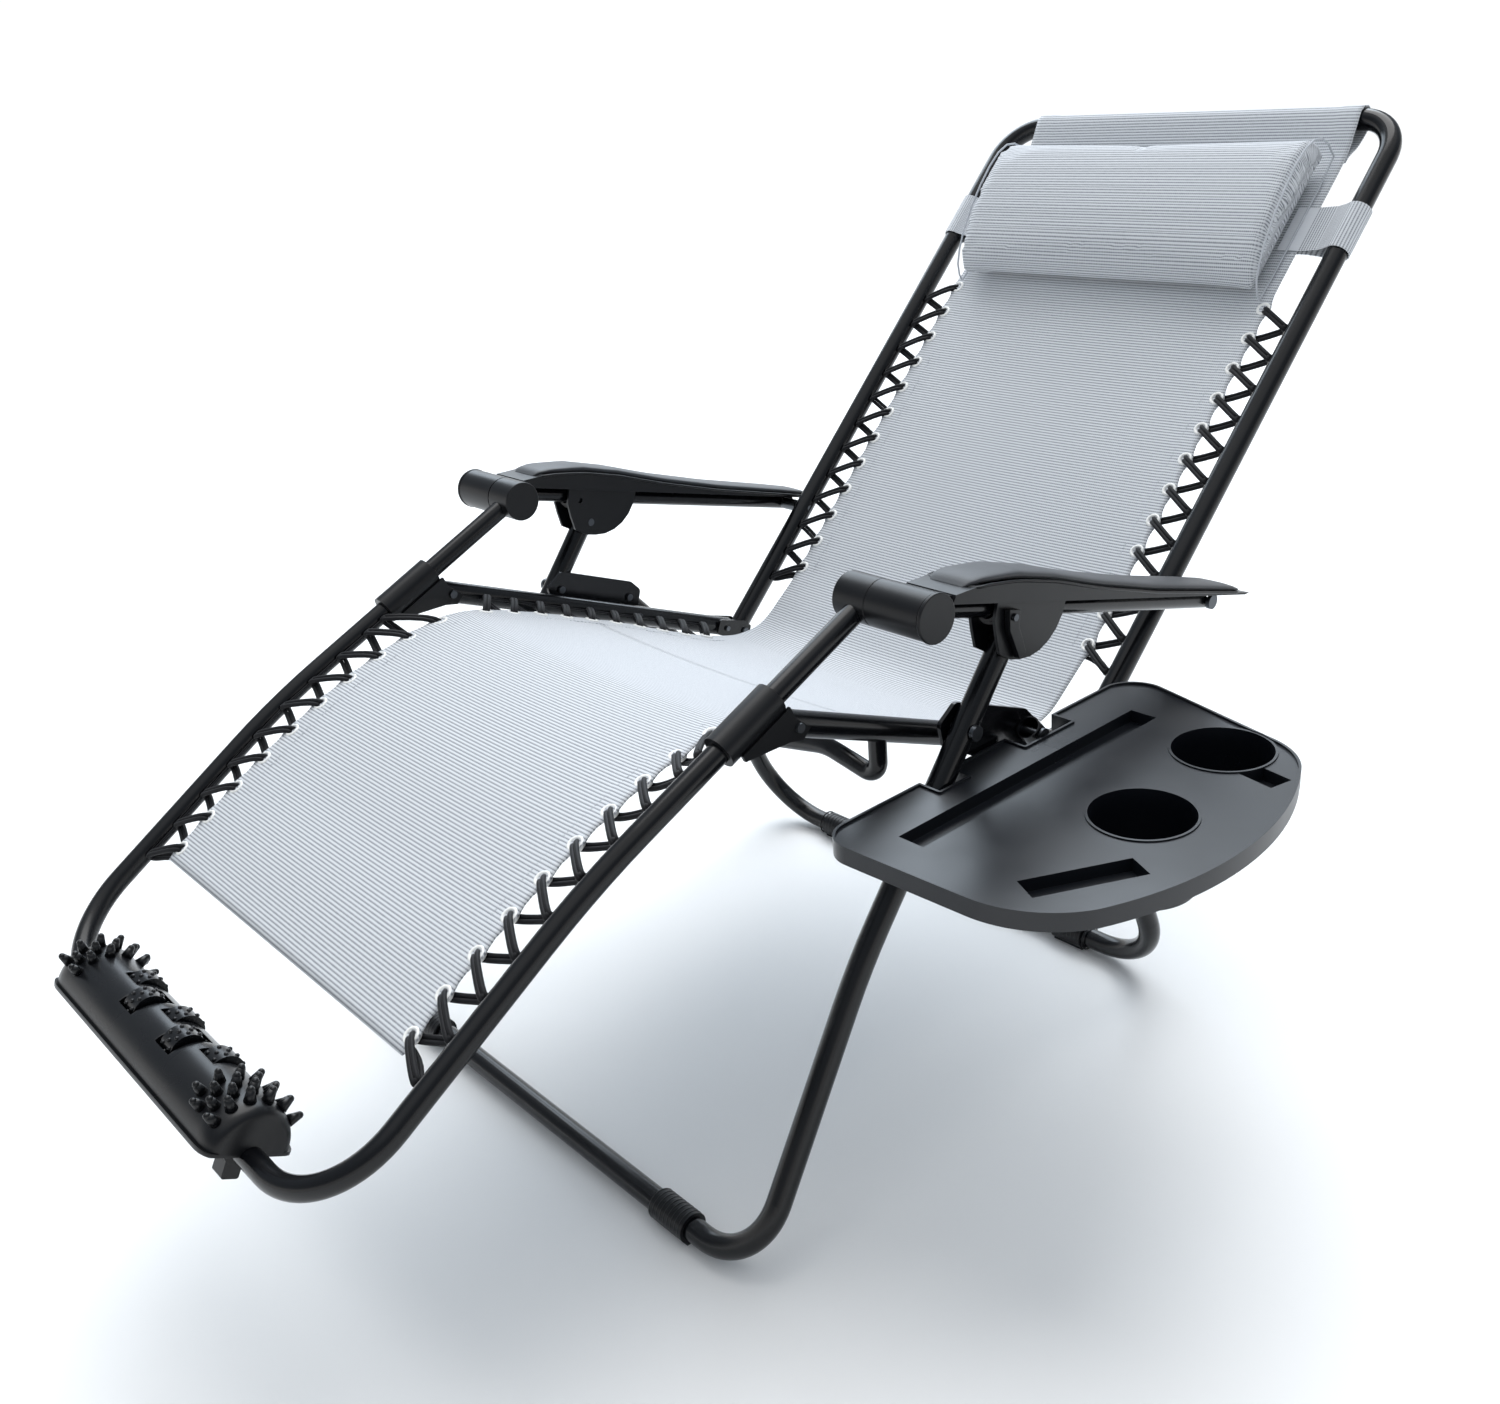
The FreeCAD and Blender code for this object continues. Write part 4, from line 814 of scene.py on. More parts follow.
@dataclass
class Sling:
    """One strip of coated mesh from the foot end, over the seat, to the sleeve on the top bar."""

    layout: Layout
    half: float = 214.0
    step: float = 8.0
    cells: int = 46
    sag: float = 6.0
    thick: float = 1.5
    hem: float = 26.0
    eye_half: float = 208.0
    sleeve_wrap: float = 13.0

    def back(self, distance: float, offset: float = -2.0) -> Pair:
        """Side-view point on the back at a distance above its hinge."""
        return along(self.layout.joint("back_hinge"), BACK_SLOPE, distance, offset)

    def panel(self, part: Part) -> list[Pair]:
        """The laced stretch of one part, in the direction that its lacing runs."""
        if part is Part.LEG:
            return [(203, 450.5), (262, 440.5), (332, 416.5), (398, 384.5), (463, 348), (512, 316)]
        if part is Part.SEAT:
            return [(163, 445.5), (94, 421.5), (-2, 381.5), (-94, 339), (-142, 321)]
        return [self.back(724.0), self.back(84.0)]

    def eyes(self, part: Part) -> list[tuple[Pair, float]]:
        """Places and headings of one part's eyelets."""
        row = EYE_ROWS[part]
        return [walk(self.panel(part), row.first + row.pitch * k) for k in range(row.count)]

    def sleeve(self) -> list[Pair]:
        """Side-view line over the top bar and back down behind the panel."""
        bar = self.back(BACK_LENGTH, 0.0)
        turns = [BACK_SLOPE - 90 + 15 * k for k in range(13)]
        around = [(bar[0] + self.sleeve_wrap * math.cos(math.radians(t)),
                   bar[1] + self.sleeve_wrap * math.sin(math.radians(t))) for t in turns]
        return [self.back(722, 6.0)] + around + [self.back(718, -11.0), self.back(700, -4.6),
                                                 self.back(690, -3.8)]

    def strip(self, name: str, line: list[Pair], start: float) -> bpy.types.Object:
        """Make one stretch of cloth with a small sag, pulled tabs at the eyes and folded hems.

        Args:
            name: the piece's name.
            line: side-view line of the stretch, already evenly spaced.
            start: metres of cloth before it, for the weave.

        Returns:
            The new piece.
        """
        eyes = [eye for part in Part for eye, _ in self.eyes(part)]
        points, uvs, passed = [], [], start * 1000
        for index, place in enumerate(line):
            before, after = line[max(index - 1, 0)], line[min(index + 1, len(line) - 1)]
            angle = heading(before, after)
            close = min(math.dist(place, eye) for eye in eyes)
            edge = self.half - 2.0 + 4.0 * math.exp(-(close / 10) ** 2)
            for cell in range(self.cells + 1):
                share = 2 * cell / self.cells - 1
                share = math.copysign(1 - (1 - abs(share)) ** 1.15, share)
                x = share * edge
                dip = self.sag * (1 - share ** 2) * self.taut(passed)
                fold = 0.7 if abs(x) > self.half - self.hem else 0.0
                spot = along(place, angle, 0.0, fold - dip)
                points.append(self.layout.point(x, *spot))
                uvs.append((x / 1000, passed / 1000))
            if index < len(line) - 1:
                passed += math.dist(place, line[index + 1])
        row = self.cells + 1
        faces = [(r * row + c, r * row + c + 1, (r + 1) * row + c + 1, (r + 1) * row + c)
                 for r in range(len(line) - 1) for c in range(self.cells)]
        piece = mesh_object(name, points, faces, Surface.MESH, uvs)
        thick = piece.modifiers.new("thickness", "SOLIDIFY")
        thick.thickness = self.thick / 1000
        thick.offset = 0.0
        apply_modifiers(piece)
        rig.slot(piece, "light_mesh")
        return piece

    def taut(self, passed: float) -> float:
        """Share of the sag at a distance from the foot edge: none at either end."""
        return max(0.0, min(1.0, passed / 120)) * max(0.0, min(1.0, (1330 - passed) / 160))

    def build(self) -> None:
        """Make the two stretches, split in the middle of the seat."""
        leg = list(reversed(self.panel(Part.LEG)))
        seat = self.panel(Part.SEAT)
        middle = (30.0, 394.6)
        front = smooth_line([(518, 312)] + leg[1:] + [seat[0], seat[1], middle], self.step)
        rear = [middle, seat[2], seat[3], seat[4], (-176, 313), (-212, 317), (-246, 340)]
        rear += [self.back(d) for d in (96, 150, 300, 450, 600, 690)] + self.sleeve()
        rear = smooth_line(rear, self.step)
        run = sum(math.dist(p, q) for p, q in zip(front, front[1:]))
        cloth = self.strip("sling_front", front, 0.0)
        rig.replaces(cloth, "sling_leg_panel")
        point = self.layout.point
        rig.blend(cloth, "footrest", "seat", start=point(0, 197, 451), end=point(0, 162, 444))
        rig.sheet(cloth, flat=(2 * self.half / 1000, run / 1000), held="stretched",
                 rests_on=["foot_frame"])
        length = sum(math.dist(p, q) for p, q in zip(rear, rear[1:]))
        cloth = self.strip("sling_back", rear, run / 1000)
        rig.replaces(cloth, "sling_seat_panel", "sling_back_panel")
        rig.blend(cloth, "seat", "backrest", start=point(0, -142, 320), end=point(0, -268, 360))
        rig.sheet(cloth, flat=(2 * self.half / 1000, length / 1000), held="stretched",
                 rests_on=["back_frame"])
        log.info("sling: %.0f mm of cloth", run + length)

    def normal(self, angle: float) -> Vector:
        """Unit vector square to the cloth at a heading."""
        ahead = along((0, 0), angle, 0.0, -1.0)
        return Vector((0, -ahead[0], ahead[1]))

    def build_eyelets(self) -> None:
        """Ring every laced hole on both faces, one piece for each body."""
        for part in Part:
            node = part.name.lower() + "_grommets"
            places, directions, tangents = [], [], []
            for (forward, height), angle in self.eyes(part):
                normal = self.normal(angle)
                for x in (self.eye_half, -self.eye_half):
                    for lift in (0.8, -0.8):
                        places.append(self.layout.point(x, forward, height) + normal * lift / 1000)
                        directions.append(normal)
                        tangents.append(Vector((1, 0, 0)))
            piece = EYELETS.grow(node + "_rings", places, directions, tangents, part.value)
            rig.replaces(piece, node)
            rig.slot(piece, "white_grommet")


@dataclass
class Lacing:
    """Doubled elastic from each eyelet to the tie that runs along the inner side of the tube."""

    layout: Layout
    sling: Sling
    half: float = 257.0
    strand: float = 4.3
    spread: float = 2.2
    tie: float = 2.4

    def tube(self, part: Part) -> tuple[list[Pair], float, float, float]:
        """Side-view line of the tube beside one part and how the lacing lies on it.

        Returns:
            The line, the tube's radius, the sign of an offset towards the sitter, and the
            distance along the line where the tube's fittings end.
        """
        joint = self.layout.joint
        if part is Part.LEG:
            return [joint("arm_hinge_left"), FOOT_KNEE, FOOT_BAR], 9.5, -1.0, 190.0
        if part is Part.SEAT:
            return [joint("foot_hinge"), joint("back_hinge")], 11.0, 1.0, 0.0
        return [self.sling.back(BACK_LENGTH, 0.0), joint("back_hinge")], 9.5, -1.0, 0.0

    def hooks(self, part: Part) -> list[tuple[Pair, float]]:
        """Places and headings along the tube where the lacing goes round its tie."""
        line, _, _, fitting_end = self.tube(part)
        ahead = 0.6 * EYE_ROWS[part].pitch
        return [walk(line, max(nearest(line, eye) + ahead, fitting_end))
                for eye, _ in self.sling.eyes(part)]

    def route(self, part: Part, side: int, shift: float) -> list[Vector]:
        """Control points of one strand.

        Args:
            part: laced part.
            side: 1 for the left tube and -1 for the right.
            shift: offset of the strand along the tube.

        Returns:
            Points in metres of the row frame.
        """
        _, radius, sitter, _ = self.tube(part)
        eye = self.sling.eye_half - 0.5
        edge = self.sling.half + 5.0
        near = self.half - radius - self.strand / 2 - 3.0
        points = []

        def add(x: float, place: Pair, angle: float, lift: float, ahead: float = 0.0) -> None:
            """Append a control point above or below a place."""
            points.append(self.layout.point(
                side * x, *along(place, angle, shift + ahead, sitter * lift)))

        before = self.sling.eyes(part)[0][0]
        for (place, angle), (spot, turn) in zip(self.sling.eyes(part), self.hooks(part)):
            up = along(place, angle, 0, sitter)
            for other, sign in ((before, -1), (spot, 1)):
                rise = ((other[0] - place[0]) * (up[0] - place[0])
                        + (other[1] - place[1]) * (up[1] - place[1]))
                if sign < 0 and rise > 5.0:
                    add(edge, place, angle, -4.6, -4)
                if sign < 0:
                    add(eye, place, angle, -5.0)
                    add(eye, place, angle, 5.0)
                elif rise < -5.0:
                    add(edge, place, angle, 4.6, 4)
            add(near, spot, turn, 3.8)
            add(near + 2.6, spot, turn, 0.0)
            add(near, spot, turn, -3.8)
            before = spot
        place, angle = self.sling.eyes(part)[-1]
        add(edge, place, angle, -5.0, 8)
        add(self.sling.eye_half - 14, place, angle, -5.0, 8)
        return points

    def build(self) -> None:
        """Make both strands and the tie on both sides of each part, and the tie's knots."""
        for part in Part:
            node = part.name.lower() + "_lacing"
            routes = [self.route(part, side, shift) for side in (1, -1)
                      for shift in (-self.spread, self.spread)]
            strands = cord(node + "_strands", routes, self.strand, Surface.ELASTIC)
            settle(strands, part.value, "elastic_cord", node)
            _, radius, _, _ = self.tube(part)
            x = self.half - radius - 1.4
            ties = [[self.layout.point(side * x, *spot) for spot, _ in self.hooks(part)]
                    for side in (1, -1)]
            tie = cord(node + "_tie", ties, self.tie, Surface.ELASTIC)
            settle(tie, part.value, "elastic_cord")
            self.build_knots(part, node)
            log.info("%s: %d faces", node, len(strands.data.polygons))

    def build_knots(self, part: Part, node: str) -> None:
        """Tie a small knot beside each place where the doubled strand goes round the tie."""
        _, radius, sitter, _ = self.tube(part)
        places, directions, tangents = [], [], []
        for spot, turn in self.hooks(part):
            ahead = along((0, 0), turn, 1.0)
            for side in (1, -1):
                places.append(self.layout.point(
                    side * (self.half - radius - 4.6), *along(spot, turn, 0, sitter * 1.0)))
                directions.append(self.sling.normal(turn) * -sitter)
                tangents.append(Vector((0, -ahead[0], ahead[1])))
        piece = KNOTS.grow(node + "_knots", places, directions, tangents, part.value)
        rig.slot(piece, "elastic_cord")


# ------------------------------------------------------------------ armrests
@dataclass
class Armrest:
    """Arched nylon arm with a foam pad, between the barrel and the back frame."""

    layout: Layout
    side: int
    half_width: float = 26.0
    centre_x: float = 300.8
    length: float = 466.0
    pin_reach: float = 172.5
    rim: list[Pair] = field(default_factory=lambda: [
        (20, 12), (36, 20), (60, 25), (100, 28), (150, 26.5), (215, 20), (300, 15),
        (400, 13), (457, 12), (466, 11.4)])
    crown: list[Pair] = field(default_factory=lambda: [
        (40, 21), (46, 27), (60, 31.5), (100, 36), (150, 34), (215, 27.5), (300, 22.5),
        (400, 20), (440, 18.5), (456, 15), (460, 12.5)])
    base: float = 9.5

    def word(self) -> str:
        """Name of the side."""
        return "left" if self.side > 0 else "right"

    def arm(self, distance: float, lift: float) -> Pair:
        """Side-view point at a distance behind the barrel and a lift above the arm's line."""
        barrel = self.layout.joint("arm_hinge_left")
        hinge = self.layout.joint("back_hinge")
        pin = along(hinge, BACK_SLOPE, self.pin_reach)
        return along(barrel, heading(pin, barrel), -distance, -lift)

    def level(self, table: list[Pair], distance: float) -> float:
        """Height of a profile at a distance, by smooth interpolation between its points."""
        for (d0, v0), (d1, v1) in zip(table, table[1:]):
            if distance <= d1:
                t = max(0.0, (distance - d0) / (d1 - d0))
                return v0 + (v1 - v0) * t
        return table[-1][1]

    def ring(self, distance: float, low: float, high: float, half: float,
             soft: float) -> list[Vector]:
        """Rounded section of the arm.

        Args:
            distance: place along the arm.
            low: its underside.
            high: its top.
            half: half width.
            soft: exponent of the section's corners, 2 for an ellipse and more for squarer.

        Returns:
            Points of a closed ring.
        """
        middle, rise = (low + high) / 2, (high - low) / 2
        points = []
        for number in range(28):
            turn = 2 * math.pi * number / 28
            c, s = math.cos(turn), math.sin(turn)
            x = math.copysign(abs(c) ** (2 / soft), c) * half
            v = middle + math.copysign(abs(s) ** (2 / soft), s) * rise
            points.append(self.layout.point(self.side * (self.centre_x + x),
                                            *self.arm(distance, v)))
        return points

    def taper(self, distance: float, first: float, last: float, reach: float) -> float:
        """Width share that rounds both ends over a reach."""
        gap = min(distance - first, last - distance)
        if gap >= reach:
            return 1.0
        return math.sqrt(max(0.0, 1 - (1 - max(gap, 0.0) / reach) ** 2)) * 0.35 + 0.65

    def build(self) -> None:
        """Make the shell, its light rim bead and the pad."""
        word = self.word()
        body = "arm_" + word
        rings = []
        first, last = 40.0, 460.0
        stops = [first, 41, 43, 46, 51, 58] + [66 + 12 * k for k in range(32)]
        stops += [446, 450, 454, 457, 459, last]
        for distance in stops:
            low = self.level(self.rim, distance) - 0.6
            high = max(self.level(self.crown, distance), low + 0.6)
            half = (self.half_width - 2.6) * self.taper(distance, first, last, 30)
            rings.append(self.ring(distance, low, high, half, 2.9))
        pad = loft("arm_pad_" + word + "_foam", rings, Surface.FOAM_SKIN, sharp=70)
        settle(pad, body, "soft_pad", "arm_pad_" + word)
        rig.padded(pad, fill=0.9)
        self.build_rim(word, body)
        shell = softened("arm_shell_" + word, body, Surface.NYLON, 2.2)
        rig.slot(shell, "black_plastic")
        log.info("armrest %s", word)

    def build_rim(self, word: str, body: str) -> None:
        """Lay the thin bead that stands out between the pad and the shell."""
        path = []
        stops = [44 + 15 * k for k in range(28)]
        for x, run in ((1, stops), (-1, list(reversed(stops)))):
            for distance in run:
                half = (self.half_width + 1.0) * self.taper(distance, 20, self.length, 26)
                path.append(self.layout.point(
                    self.side * (self.centre_x + x * half),
                    *self.arm(distance, self.level(self.rim, distance) - 0.2)))
        piece = cord("arm_rim_" + word, [path], 2.6, Surface.NYLON, closed=True)
        settle(piece, body, "black_plastic")


# ------------------------------------------------------------------ pillow
@dataclass
class Pillow:
    """D-section head pillow with flat piped ends and straps round the back tubes."""

    layout: Layout
    sling: Sling
    half: float = 203.0
    low: float = 508.0
    high: float = 691.0
    outline: list[Pair] = field(default_factory=lambda: [
        (0.0, 0.04), (0.01, 0.2), (0.05, 0.4), (0.13, 0.58), (0.24, 0.74), (0.4, 0.89), (0.56, 0.97),
        (0.7, 1.0), (0.82, 0.97), (0.91, 0.86), (0.97, 0.66), (1.0, 0.4), (1.0, 0.06), (0.8, 0.0),
        (0.5, 0.0), (0.2, 0.0)])
    rise: float = 56.0
    face: float = 1.5
    puff_reach: float = 7.0

    def section(self, shrink: float = 0.0) -> list[Pair]:
        """Closed D outline as (distance up the back, offset in front of it)."""
        points = []
        ring = self.outline + self.outline[:1]
        for (a0, h0), (a1, h1) in zip(ring, ring[1:]):
            for k in range(3):
                t = k / 3
                points.append((a0 + (a1 - a0) * t, h0 + (h1 - h0) * t))
        span = self.high - self.low
        middle = (self.low + self.high) / 2
        return [(middle + (a - 0.5) * (span - 2 * shrink),
                 self.face + shrink + h * (self.rise - 2 * shrink)) for a, h in points]

    def place(self, x: float, reach: float, lift: float) -> Vector:
        """Row-frame point on the back."""
        return self.layout.point(x, *self.sling.back(reach, lift))

    def build(self) -> None:
        """Make the bolster, puff it up as cloth, and pipe its ends."""
        rings, uvs = [], []
        columns = [-1 + k / 14 for k in range(29)]
        for share in columns:
            x = share * (self.half - 3)
            outline = self.section(3.0)
            rings.append([self.place(x, *p) for p in outline])
        bolster = loft("pillow_bolster", rings, Surface.MESH)
        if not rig.quick():
            self.puff(bolster)
        self.lay_cloth(bolster)
        settle(bolster, "pillow", "light_mesh", "head_pillow")
        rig.padded(bolster, fill=0.85)
        for word, side in (("left", 1), ("right", -1)):
            self.pipe(word, side)
            self.strap(word, side)

    def puff(self, piece: bpy.types.Object) -> None:
        """Inflate the bolster a little with a short cloth run, kept close to its start."""
        remesh = piece.modifiers.new("even", "REMESH")
        remesh.mode = "VOXEL"
        remesh.voxel_size = 0.0055
        apply_modifiers(piece)
        start = [v.co.copy() for v in piece.data.vertices]
        cloth = piece.modifiers.new("cloth", "CLOTH")
        cloth.settings.use_pressure = True
        cloth.settings.uniform_pressure_force = 4.0
        cloth.settings.effector_weights.gravity = 0.0
        cloth.settings.quality = 4
        cloth.settings.tension_stiffness = 12
        cloth.settings.bending_stiffness = 1.5
        cloth.collision_settings.use_collision = False
        cloth.point_cache.frame_start = 1
        cloth.point_cache.frame_end = 20
        scene = bpy.context.scene
        for number in range(1, 21):
            scene.frame_set(number)
            bpy.context.view_layer.update()
        apply_modifiers(piece)
        scene.frame_set(1)
        floor = self.place(0, self.low, self.face)
        normal = (self.place(0, self.low, 1) - self.place(0, self.low, 0)).normalized()
        for vertex, origin in zip(piece.data.vertices, start):
            move = vertex.co - origin
            if move.length > self.puff_reach / 1000:
                move = move.normalized() * (self.puff_reach / 1000)
            spot = origin + move
            depth = (spot - floor).dot(normal)
            vertex.co = spot - normal * min(depth, 0.0)
        piece.data.shade_smooth()

    def lay_cloth(self, piece: bpy.types.Object) -> None:
        """Lay the weave over the bolster, with its rows along the pillow."""
        mesh = piece.data
        layer = mesh.uv_layers.get("cloth") or mesh.uv_layers.new(name="cloth")
        origin = self.place(0, self.low, 0)
        up = (self.place(0, self.high, 0) - origin).normalized()
        out = (self.place(0, self.low, 1) - origin).normalized()
        seam = [(a - self.low, h) for a, h in self.section()]
        run = [0.0]
        for before, after in zip(seam, seam[1:]):
            run.append(run[-1] + math.dist(before, after))

        def cloth_run(vertex: bpy.types.MeshVertex) -> Pair:
            """Weave coordinates of a vertex: sideways, and along the section's outline."""
            offset = vertex.co - origin
            spot = (offset.dot(up) * 1000, offset.dot(out) * 1000)
            gaps = [math.dist(spot, p) for p in seam]
            k = min(range(1, len(seam) - 1), key=lambda n: gaps[n])
            share = (gaps[k - 1] - gaps[k + 1]) / max(run[k + 1] - run[k - 1], 1e-6)
            return offset.x, (run[k] + share * (run[k + 1] - run[k - 1]) / 2) / 1000

        runs = [cloth_run(vertex) for vertex in mesh.vertices]
        for loop in mesh.loops:
            layer.data[loop.index].uv = runs[loop.vertex_index]
        if not mesh.materials:
            mesh.materials.append(Surface.MESH.value.material())

    def pipe(self, word: str, side: int) -> None:
        """Run a fine piping cord round one end seam."""
        path = [self.place(side * (self.half - 1.0), *p) for p in self.section(0.6)]
        rings = []
        count = len(path)
        for index, point in enumerate(path + path[:1]):
            ahead = (path[(index + 1) % count] - path[index - 1]).normalized()
            across = Vector((1, 0, 0))
            other = ahead.cross(across).normalized()
            rings.append([point + (across * math.cos(t) + other * math.sin(t)) * 0.0011
                          for t in (2 * math.pi * k / 8 for k in range(8))])
        piece = loft("pillow_piping_" + word, rings, Surface.THREAD, sharp=70)
        settle(piece, "pillow", "light_mesh")

    def strap(self, word: str, side: int) -> None:
        """Wrap one elastic strap from the pillow's end round the back tube."""
        wrap = 12.6
        path = [(190, 0.4), (214, 1.0), (236, 4.0), (246, 8.0)]
        path += [(257 + wrap * math.cos(math.radians(t)), wrap * math.sin(math.radians(t)))
                 for t in range(120, -121, -20)]
        path += [(240, -8.0), (222, -5.0), (196, -4.6)]
        rings, uvs, passed = [], [], 0.0
        low, high = 574.0, 628.0
        for index, (x, lift) in enumerate(path):
            before, after = path[max(index - 1, 0)], path[min(index + 1, len(path) - 1)]
            tilt = math.atan2(after[1] - before[1], after[0] - before[0])
            nx, nh = -math.sin(tilt) * 0.6, math.cos(tilt) * 0.6
            rings.append([self.place(side * (x + nx), low, lift + nh),
                          self.place(side * (x + nx), high, lift + nh),
                          self.place(side * (x - nx), high, lift - nh),
                          self.place(side * (x - nx), low, lift - nh)])
            uvs.append([(0.0, passed), (0.054, passed), (0.054, passed), (0.0, passed)])
            passed += math.dist(before, (x, lift)) / 1000
        piece = loft("pillow_strap_" + word, rings, Surface.MESH, uvs, sharp=60)
        settle(piece, "pillow", "light_mesh")
        if side > 0:
            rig.replaces(piece, "pillow_straps")


# ------------------------------------------------------------------ massager
@dataclass
class Massager:
    """Nubs and knobbly rollers of the foot massager."""

    layout: Layout
    middle: float = -10.0
    half: float = 162.0
    radius: float = 34.0
    turn: float = 62.0
    window_radius: float = 18.2
    window_half: float = 13.4

    def around(self, angle: float, reach: float) -> Pair:
        """Side-view point around the shell's own axis."""
        up = heading(FOOT_KNEE, FOOT_BAR) + self.turn
        centre = along(FOOT_BAR, up, 0.0, -6.0)
        turn = math.radians(angle)
        return along(centre, up, reach * math.cos(turn), -reach * math.sin(turn))

    def shell(self) -> None:
        """Make the half-round body with soft ends and a round window over each roller."""
        rings = []
        full = self.half + 2.0
        for step in range(41):
            share = -1 + step / 20
            x = self.middle + full * math.copysign(1 - (1 - abs(share)) ** 1.4, share)
            gap = (full - abs(x - self.middle)) / 20.0
            size = self.radius * (1.0 if gap >= 1 else 0.72 + 0.28 * math.sqrt(
                max(0.0, 1 - (1 - gap) ** 2)))
            ring = [self.layout.point(x, *self.around(turn, size)) for turn in range(-6, 187, 8)]
            lips = ((184, size + 2.6), (190, size + 2.6), (193, size - 3), (-13, size - 3),
                    (-10, size + 2.6), (-4, size + 2.6))
            ring += [self.layout.point(x, *self.around(turn, reach)) for turn, reach in lips]
            rings.append(ring)
        body = loft("massager_body", rings, Surface.MASSAGER, sharp=50)
        spokes = 24
        faces, points = [], []
        for number in range(5):
            low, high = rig.box(f"massage_roller_{number + 1}")
            centre = (low + high) / 2
            turns = [2 * math.pi * spoke / spokes for spoke in range(spokes)]
            circle = [centre + Vector((0, math.cos(t), math.sin(t))) * (self.window_radius / 1000)
                      for t in turns]
            base = len(points)
            for x in (-self.window_half / 1000, self.window_half / 1000):
                points += [p + Vector((x, 0, 0)) for p in circle]
            far = base + spokes
            faces += [tuple(range(far - 1, base - 1, -1)), tuple(range(far, far + spokes))]
            faces += [(base + k, base + (k + 1) % spokes, far + (k + 1) % spokes, far + k)
                      for k in range(spokes)]
        tool = mesh_object("massager_windows", points, faces, Surface.MASSAGER)
        hole = body.modifiers.new("windows", "BOOLEAN")
        hole.operation = "DIFFERENCE"
        hole.solver = "EXACT"
        hole.object = tool
        soft = body.modifiers.new("round", "BEVEL")
        soft.width = 0.0012
        soft.segments = 2
        soft.limit_method = "ANGLE"
        soft.angle_limit = math.radians(50)
        apply_modifiers(body)
        bpy.data.objects.remove(tool)
        body.data.shade_smooth()
        body.data.set_sharp_from_angle(angle=math.radians(50))
        settle(body, "footrest", "massage_plastic", "massager_shell")

    def build(self) -> None:
        """Make the body, grow the end nubs and dress the rollers."""
        self.shell()
        places, directions, tangents = [], [], []
        for end, columns in ((-1, 3), (1, 4)):
            for column in range(columns):
                for row in range(5 if column % 2 else 6):
                    turn = 30 + 24 * row + (12 if column % 2 else 0)
                    x = self.middle + end * (self.half - 11 - 12.0 * column)
                    foot = self.layout.point(x, *self.around(turn, self.radius - 1))
                    tip = self.layout.point(x, *self.around(turn, self.radius + 10))
                    places.append(foot)
                    directions.append((tip - foot).normalized())
                    tangents.append(Vector((1, 0, 0)))
        nubs = NUBS.grow("massager_end_nubs", places, directions, tangents, "footrest")
        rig.replaces(nubs, "massager_nubs")
        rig.slot(nubs, "massage_plastic")
        for number in range(1, 6):
            self.roller(number)

    def roller(self, number: int) -> None:
        """Set rows of bumps round one roller."""
        low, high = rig.box(f"massage_roller_{number}")
        centre = (low + high) / 2
        radius = (high.z - low.z) / 2 - 0.0025
        places, directions, tangents = [], [], []
        for row in range(3):
            for spoke in range(10):
                turn = 2 * math.pi * (spoke + 0.5 * (row % 2)) / 10
                out = Vector((0, math.cos(turn), math.sin(turn)))
                places.append(Vector((centre.x + (row - 1) * 0.0062, centre.y, centre.z))
                              + out * (radius - 0.0003))
                directions.append(out)
                tangents.append(Vector((1, 0, 0)))
        piece = BUMPS.grow(f"roller_bumps_{number}", places, directions, tangents,
                           f"roller_{number}")
        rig.slot(piece, "massage_plastic")


# ------------------------------------------------------------------ frame, hems and studio
@dataclass
class Hardware:
    """Tubes and mouldings: finishes on the CAD nodes, rounded edges and ribbed sleeves."""

    layout: Layout

    def dress(self) -> None:
        """Give every CAD node the finish of its material slot."""
        slots = {entry["node"]: entry["material_slot"] for entry in frame["record"]["subparts"]}
        for name, node in frame["nodes"].items():
            node.data.materials.clear()
            node.data.materials.append(SLOT_FINISH[slots[name]].value.material())

    def build(self) -> None:
        """Round the moulded pieces' edges and rib the floor sleeves."""
        moulded = [
            ("side_tray", "tray", Surface.TRAY, 1.0), ("tray_clip", "tray", Surface.TRAY, 1.5),
            ("foot_bracket_left", "footrest", Surface.NYLON, 0.8),
            ("foot_bracket_right", "footrest", Surface.NYLON, 0.8),
            ("barrel_caps", "footrest", Surface.NYLON, 1.0),
            ("arm_barrels", "footrest", Surface.NYLON, 1.2),
            ("latch_housing_left", "latch_left", Surface.NYLON, 0.7),
            ("latch_housing_right", "latch_right", Surface.NYLON, 0.7),
            ("latch_lever_left", "lever_left", Surface.NYLON, 0.8),
            ("latch_lever_right", "lever_right", Surface.NYLON, 0.8),
            ("hub_plate_left", "stand", Surface.STEEL, 0.5),
            ("hub_plate_right", "stand", Surface.STEEL, 0.5),
            ("back_hinge_plates", "seat", Surface.STEEL, 0.4),
            ("massager_clamps", "footrest", Surface.MASSAGER, 0.8),
        ]
        slots = {entry["node"]: entry["material_slot"] for entry in frame["record"]["subparts"]}
        for node, body, finish, width in moulded:
            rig.slot(softened(node, body, finish, width), slots[node])
        for node, body in (("front_floor_sleeves", "stand"), ("rear_floor_sleeves", "rear_legs")):
            low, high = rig.box(node)
            places = []
            for side in (1, -1):
                inner = 186.0 if body == "stand" else 167.0
                for k in range(9):
                    places.append(Vector((self.layout.middle + side * (inner + 5 * k) / 1000,
                                          (low.y + high.y) / 2, 0.0148)))
            lateral = [Vector((1, 0, 0))] * len(places)
            upward = [Vector((0, 0, 1))] * len(places)
            piece = RIBS.grow(node + "_ribs", places, lateral, upward, body)
            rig.slot(piece, "black_plastic")


